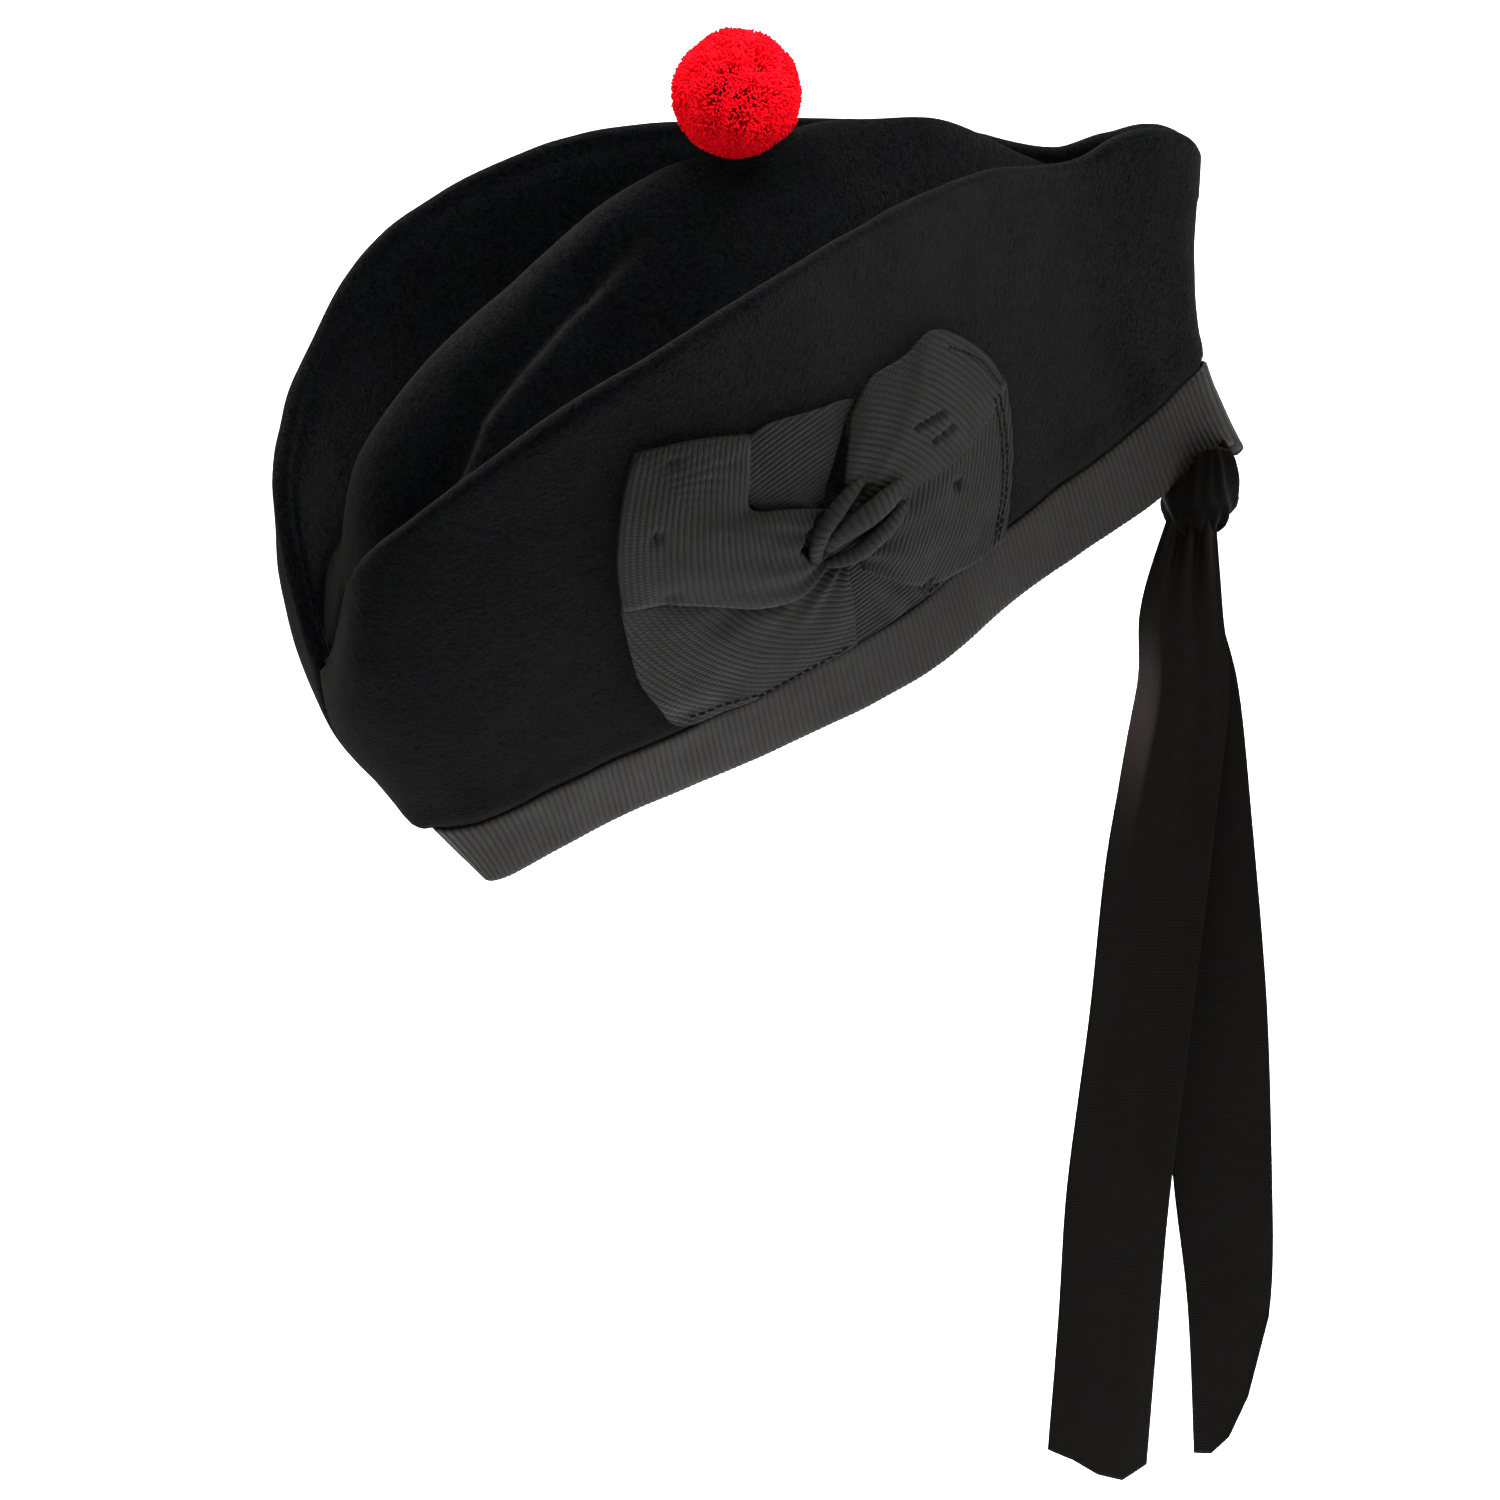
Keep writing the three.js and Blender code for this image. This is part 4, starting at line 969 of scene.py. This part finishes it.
red_wool = red_wool_finish()
BALL_ROWS = 36
BALL_ROUND = 2 * BALL_ROWS
ball_points = []
for i in range(BALL_ROWS + 1):
    fall = math.pi * i / BALL_ROWS
    for k in range(BALL_ROUND if 0 < i < BALL_ROWS else 1):
        turn = TAU * k / BALL_ROUND
        way = Vector((math.sin(fall) * math.cos(turn), math.sin(fall) * math.sin(turn), math.cos(fall)))
        parted = (way - Vector(CLIPPED["part"]).normalized()).length
        reach = (1 + CLIPPED["uneven"] * noise.noise(way * 2.3)
                 - CLIPPED["part_depth"] * hill(parted, CLIPPED["part_spread"]))
        ball_points.append(tourie_middle + way * TOURIE_RADIUS * CORE_SHARE * reach)
ball_faces = []
last_ring = 1 + (BALL_ROWS - 2) * BALL_ROUND
for k in range(BALL_ROUND):
    beside = (k + 1) % BALL_ROUND
    ball_faces.append((0, 1 + k, 1 + beside))
    ball_faces.append((len(ball_points) - 1, last_ring + beside, last_ring + k))
for ring in range(1, last_ring, BALL_ROUND):
    ball_faces += [(a, d, c, b) for a, b, c, d in ring_faces(ring, ring + BALL_ROUND, BALL_ROUND)]
tourie = mesh_object("tourie_wool", ball_points, ball_faces, red_wool)
ball_area = 4 * math.pi * (TOURIE_RADIUS * CORE_SHARE) ** 2
grown_by_nodes(tourie, wool_strand_group(red_wool), {
    "Density": STRANDS / ball_area, "Length": TOURIE_RADIUS * (1 - CORE_SHARE) * STRAND["reach"],
    "Radius": STRAND["radius"], "Lean": STRAND["lean"], "Seed": 7})
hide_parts("tourie")
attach(tourie, "root")

# Tie knot. The two ribbons are tied once under the rear end of the band: a gathered loop of black
# ribbon, bunched in folds that run down into the neck the tails come out of.
TAIL_RIB_PITCH = 0.95
# The tails' black ribbon with its colours darkened: painted shade under the band's rear end.
knot_ribbon_shaded = ribbon_finish("knot_ribbon_shaded", (0.0014, 0.0011, 0.0009), (0.0004, 0.0003, 0.0003),
                               TAIL_RIB_PITCH, 0.14, 0.6, 0.012)


def solid_copy(node):
    """A closed copy of a node's surface, with its loose triangles joined."""
    mesh = frame["nodes"][node].data.copy()
    shape = bmesh.new()
    shape.from_mesh(mesh)
    bmesh.ops.remove_doubles(shape, verts=shape.verts, dist=0.00001)
    shape.to_mesh(mesh)
    shape.free()
    return mesh


tie_mesh = solid_copy("tie_knot")
tie_mesh.materials.clear()
tie_mesh.materials.append(knot_ribbon_shaded)
tie = put_in_scene("tie_knot_ribbon", tie_mesh)
remesh = tie.modifiers.new("even", "REMESH")
remesh.mode = "VOXEL"
remesh.voxel_size = 0.0006
keep_result(tie, remesh)
tie_low, tie_high = (Vector(corner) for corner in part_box("tie_knot"))
tie_middle = (tie_low + tie_high) / 2
TIE_FOLD = {"count": 9, "depth": 0.0019, "twist": 0.9}
TIE_LAP = {"out": 0.0045, "up": 0.009}  # how far its top laps out and up over the band, in metres
tie_normals = [v.normal.copy() for v in tie.data.vertices]
tie_weave = []
for vertex, normal in zip(tie.data.vertices, tie_normals):
    away = vertex.co - tie_middle
    height = (vertex.co.z - tie_low.z) / (tie_high.z - tie_low.z)
    turn = math.atan2(away.y, away.x + 0.0001) + TIE_FOLD["twist"] * (height - 0.5)
    fold = 0.5 + 0.5 * math.cos(TIE_FOLD["count"] * turn + 2 * noise.noise(vertex.co * 90))
    vertex.co -= normal * TIE_FOLD["depth"] * (1 - fold) * (1.15 - height)
    high_up = clamped(2 * height - 1)
    near = clamped((away.x + 0.002) / 0.006)
    rear = clamped((away.y - 0.003) / 0.005)
    vertex.co.x += TIE_LAP["out"] * high_up * near
    vertex.co.z += TIE_LAP["up"] * high_up * max(near, rear)
    tie_weave.append(((vertex.co.z - tie_low.z) * 1000, turn * 8, 0))
tie.data.polygons.foreach_set("use_smooth", [True] * len(tie.data.polygons))
set_weave(tie, tie_weave)
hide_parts("tie_knot")
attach(tie, "root")

# Ribbon tails. The free ends of the tie, 31 mm black ribbon about 330 mm long. They hang plumb from
# under the knot with a gentle cup, front edges folded back near the top, and ends cut on a slant.
TAIL_ROWS = {  # x, y and z of the middle, width and heading of the width in degrees, down each tail
    "tail_left": [
        [5.2, 106.6, 29, 14, 62], [7.6, 102.3, 0, 24.8, 64], [9, 102.9, -30, 27.5, 66],
        [6.6, 97.3, -80, 32.3, 66], [4.4, 92.9, -140, 32.3, 65], [1.5, 88.1, -200, 33, 66],
        [-0.7, 86.5, -250, 32.3, 68], [-2.7, 84.5, -302, 32.3, 69]],
    "tail_right": [
        [0.5, 109.1, 29, 11, 60], [1.4, 105.8, 0, 21.5, 58], [2, 109, -30, 30, 57],
        [3.2, 114.4, -80, 31, 56], [5, 119.9, -140, 31.4, 57], [4.9, 123.6, -200, 31.6, 59],
        [5.2, 127.8, -250, 26.8, 58], [5, 129.5, -299, 23, 54]],
}
# How far the slanted end drops below a square cut, at five places across the ribbon.
END_DROPS = {"tail_left": [-4, 0, 6, 9, 4], "tail_right": [12, 11, 4, -12, -42]}
CUT_FROM = 0.65  # the share of its length from which the rows lean into the slant
TAIL_DOWN = 240
TAIL_ACROSS = 33
TAIL_LONG = 0.330
CUP = 1.2
KNOT_UNDERSIDE = 20  # height at which the tails come out, pleated
PLEATS = {"deep": 1.3, "reach": 26, "waves": 1.6}
FOLD = {"from": -0.58, "down": 58, "reach": 24}  # where it runs across the ribbon and below the knot
FOLDED = {"tail_left": 7.0, "tail_right": 0.8}  # how far back the front edge is folded


def tail_finish():
    """The tails' black ribbon, paler where its folded edge catches the light."""
    material = ribbon_finish("black_ribbon", (0.0028, 0.0022, 0.0018), (0.0007, 0.0005, 0.0004),
                             TAIL_RIB_PITCH, 0.14, 0.55, 0.03)
    tree = material.node_tree
    turned_edge, paler = nodes_of(tree, "Attribute", "Mix")
    turned_edge.attribute_name = "turned"
    mix_colours(paler, second=(0.021, 0.0165, 0.0150))
    shader = tree.nodes["Principled BSDF"]
    worn = shader.inputs["Base Color"].links[0].from_node
    wire(tree, [(worn, "Result", paler, "A"), (turned_edge, "Fac", paler, "Factor"),
                (paler, "Result", shader, "Base Color")])
    return material


def smooth_row(rows, share):
    """A row between the given ones, on a smooth curve through them."""
    i = min(int(share * (len(rows) - 1)), len(rows) - 2)
    return between(*with_ends(np.array(rows, float))[i:i + 4], share * (len(rows) - 1) - i)


black_ribbon = tail_finish()
for node, rows in TAIL_ROWS.items():
    points, weave, turned = [], [], []
    for i in range(TAIL_DOWN + 1):
        share = i / TAIL_DOWN
        x, y, z, wide, heading = smooth_row(rows, share)
        across = np.array([math.cos(math.radians(heading)), math.sin(math.radians(heading)), 0])
        out = np.array([across[1], -across[0], 0])
        cut = clamped((share - CUT_FROM) / (1 - CUT_FROM)) ** 2
        below = max(KNOT_UNDERSIDE - z, 0)
        near_top = hill(below - FOLD["down"], FOLD["reach"])
        pleated = PLEATS["deep"] * math.exp(-below / PLEATS["reach"])
        for q in np.linspace(-1, 1, TAIL_ACROSS):
            drop = np.interp(q, [-1, -0.5, 0, 0.5, 1], END_DROPS[node]) * cut
            cup = CUP * (1 - q * q) * math.sin(share * 7 + 1)
            past_fold = FOLD["from"] - q
            creased = -FOLDED[node] * near_top * (
                0.16 * hill(past_fold, 0.05) + max(past_fold, 0) / (1 + FOLD["from"]))
            turned.append(FOLDED[node] / max(FOLDED.values()) * near_top
                          * clamped(past_fold / 0.06 + 1))
            pleats = pleated * math.cos(TAU * PLEATS["waves"] * q)
            ripple = 0.5 * noise.noise(Vector((q * 1.3, z / 34, len(node))))
            p = np.array([x, y, z - drop]) + across * q * wide / 2 + out * (
                cup + creased + pleats + ripple)
            points.append(p / 1000)
            weave.append((share * TAIL_LONG * 1000, (q + 1) * wide / 2, 0))
    ribbon = mesh_object(node + "_ribbon", points, grid_faces(TAIL_DOWN + 1, TAIL_ACROSS), black_ribbon)
    set_weave(ribbon, weave)
    ribbon.data.attributes.new("turned", "FLOAT", "POINT").data.foreach_set("value", turned)
    thicken(ribbon, "ribbon", RIBBON, 0)
    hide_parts(node)
    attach(ribbon, "root")
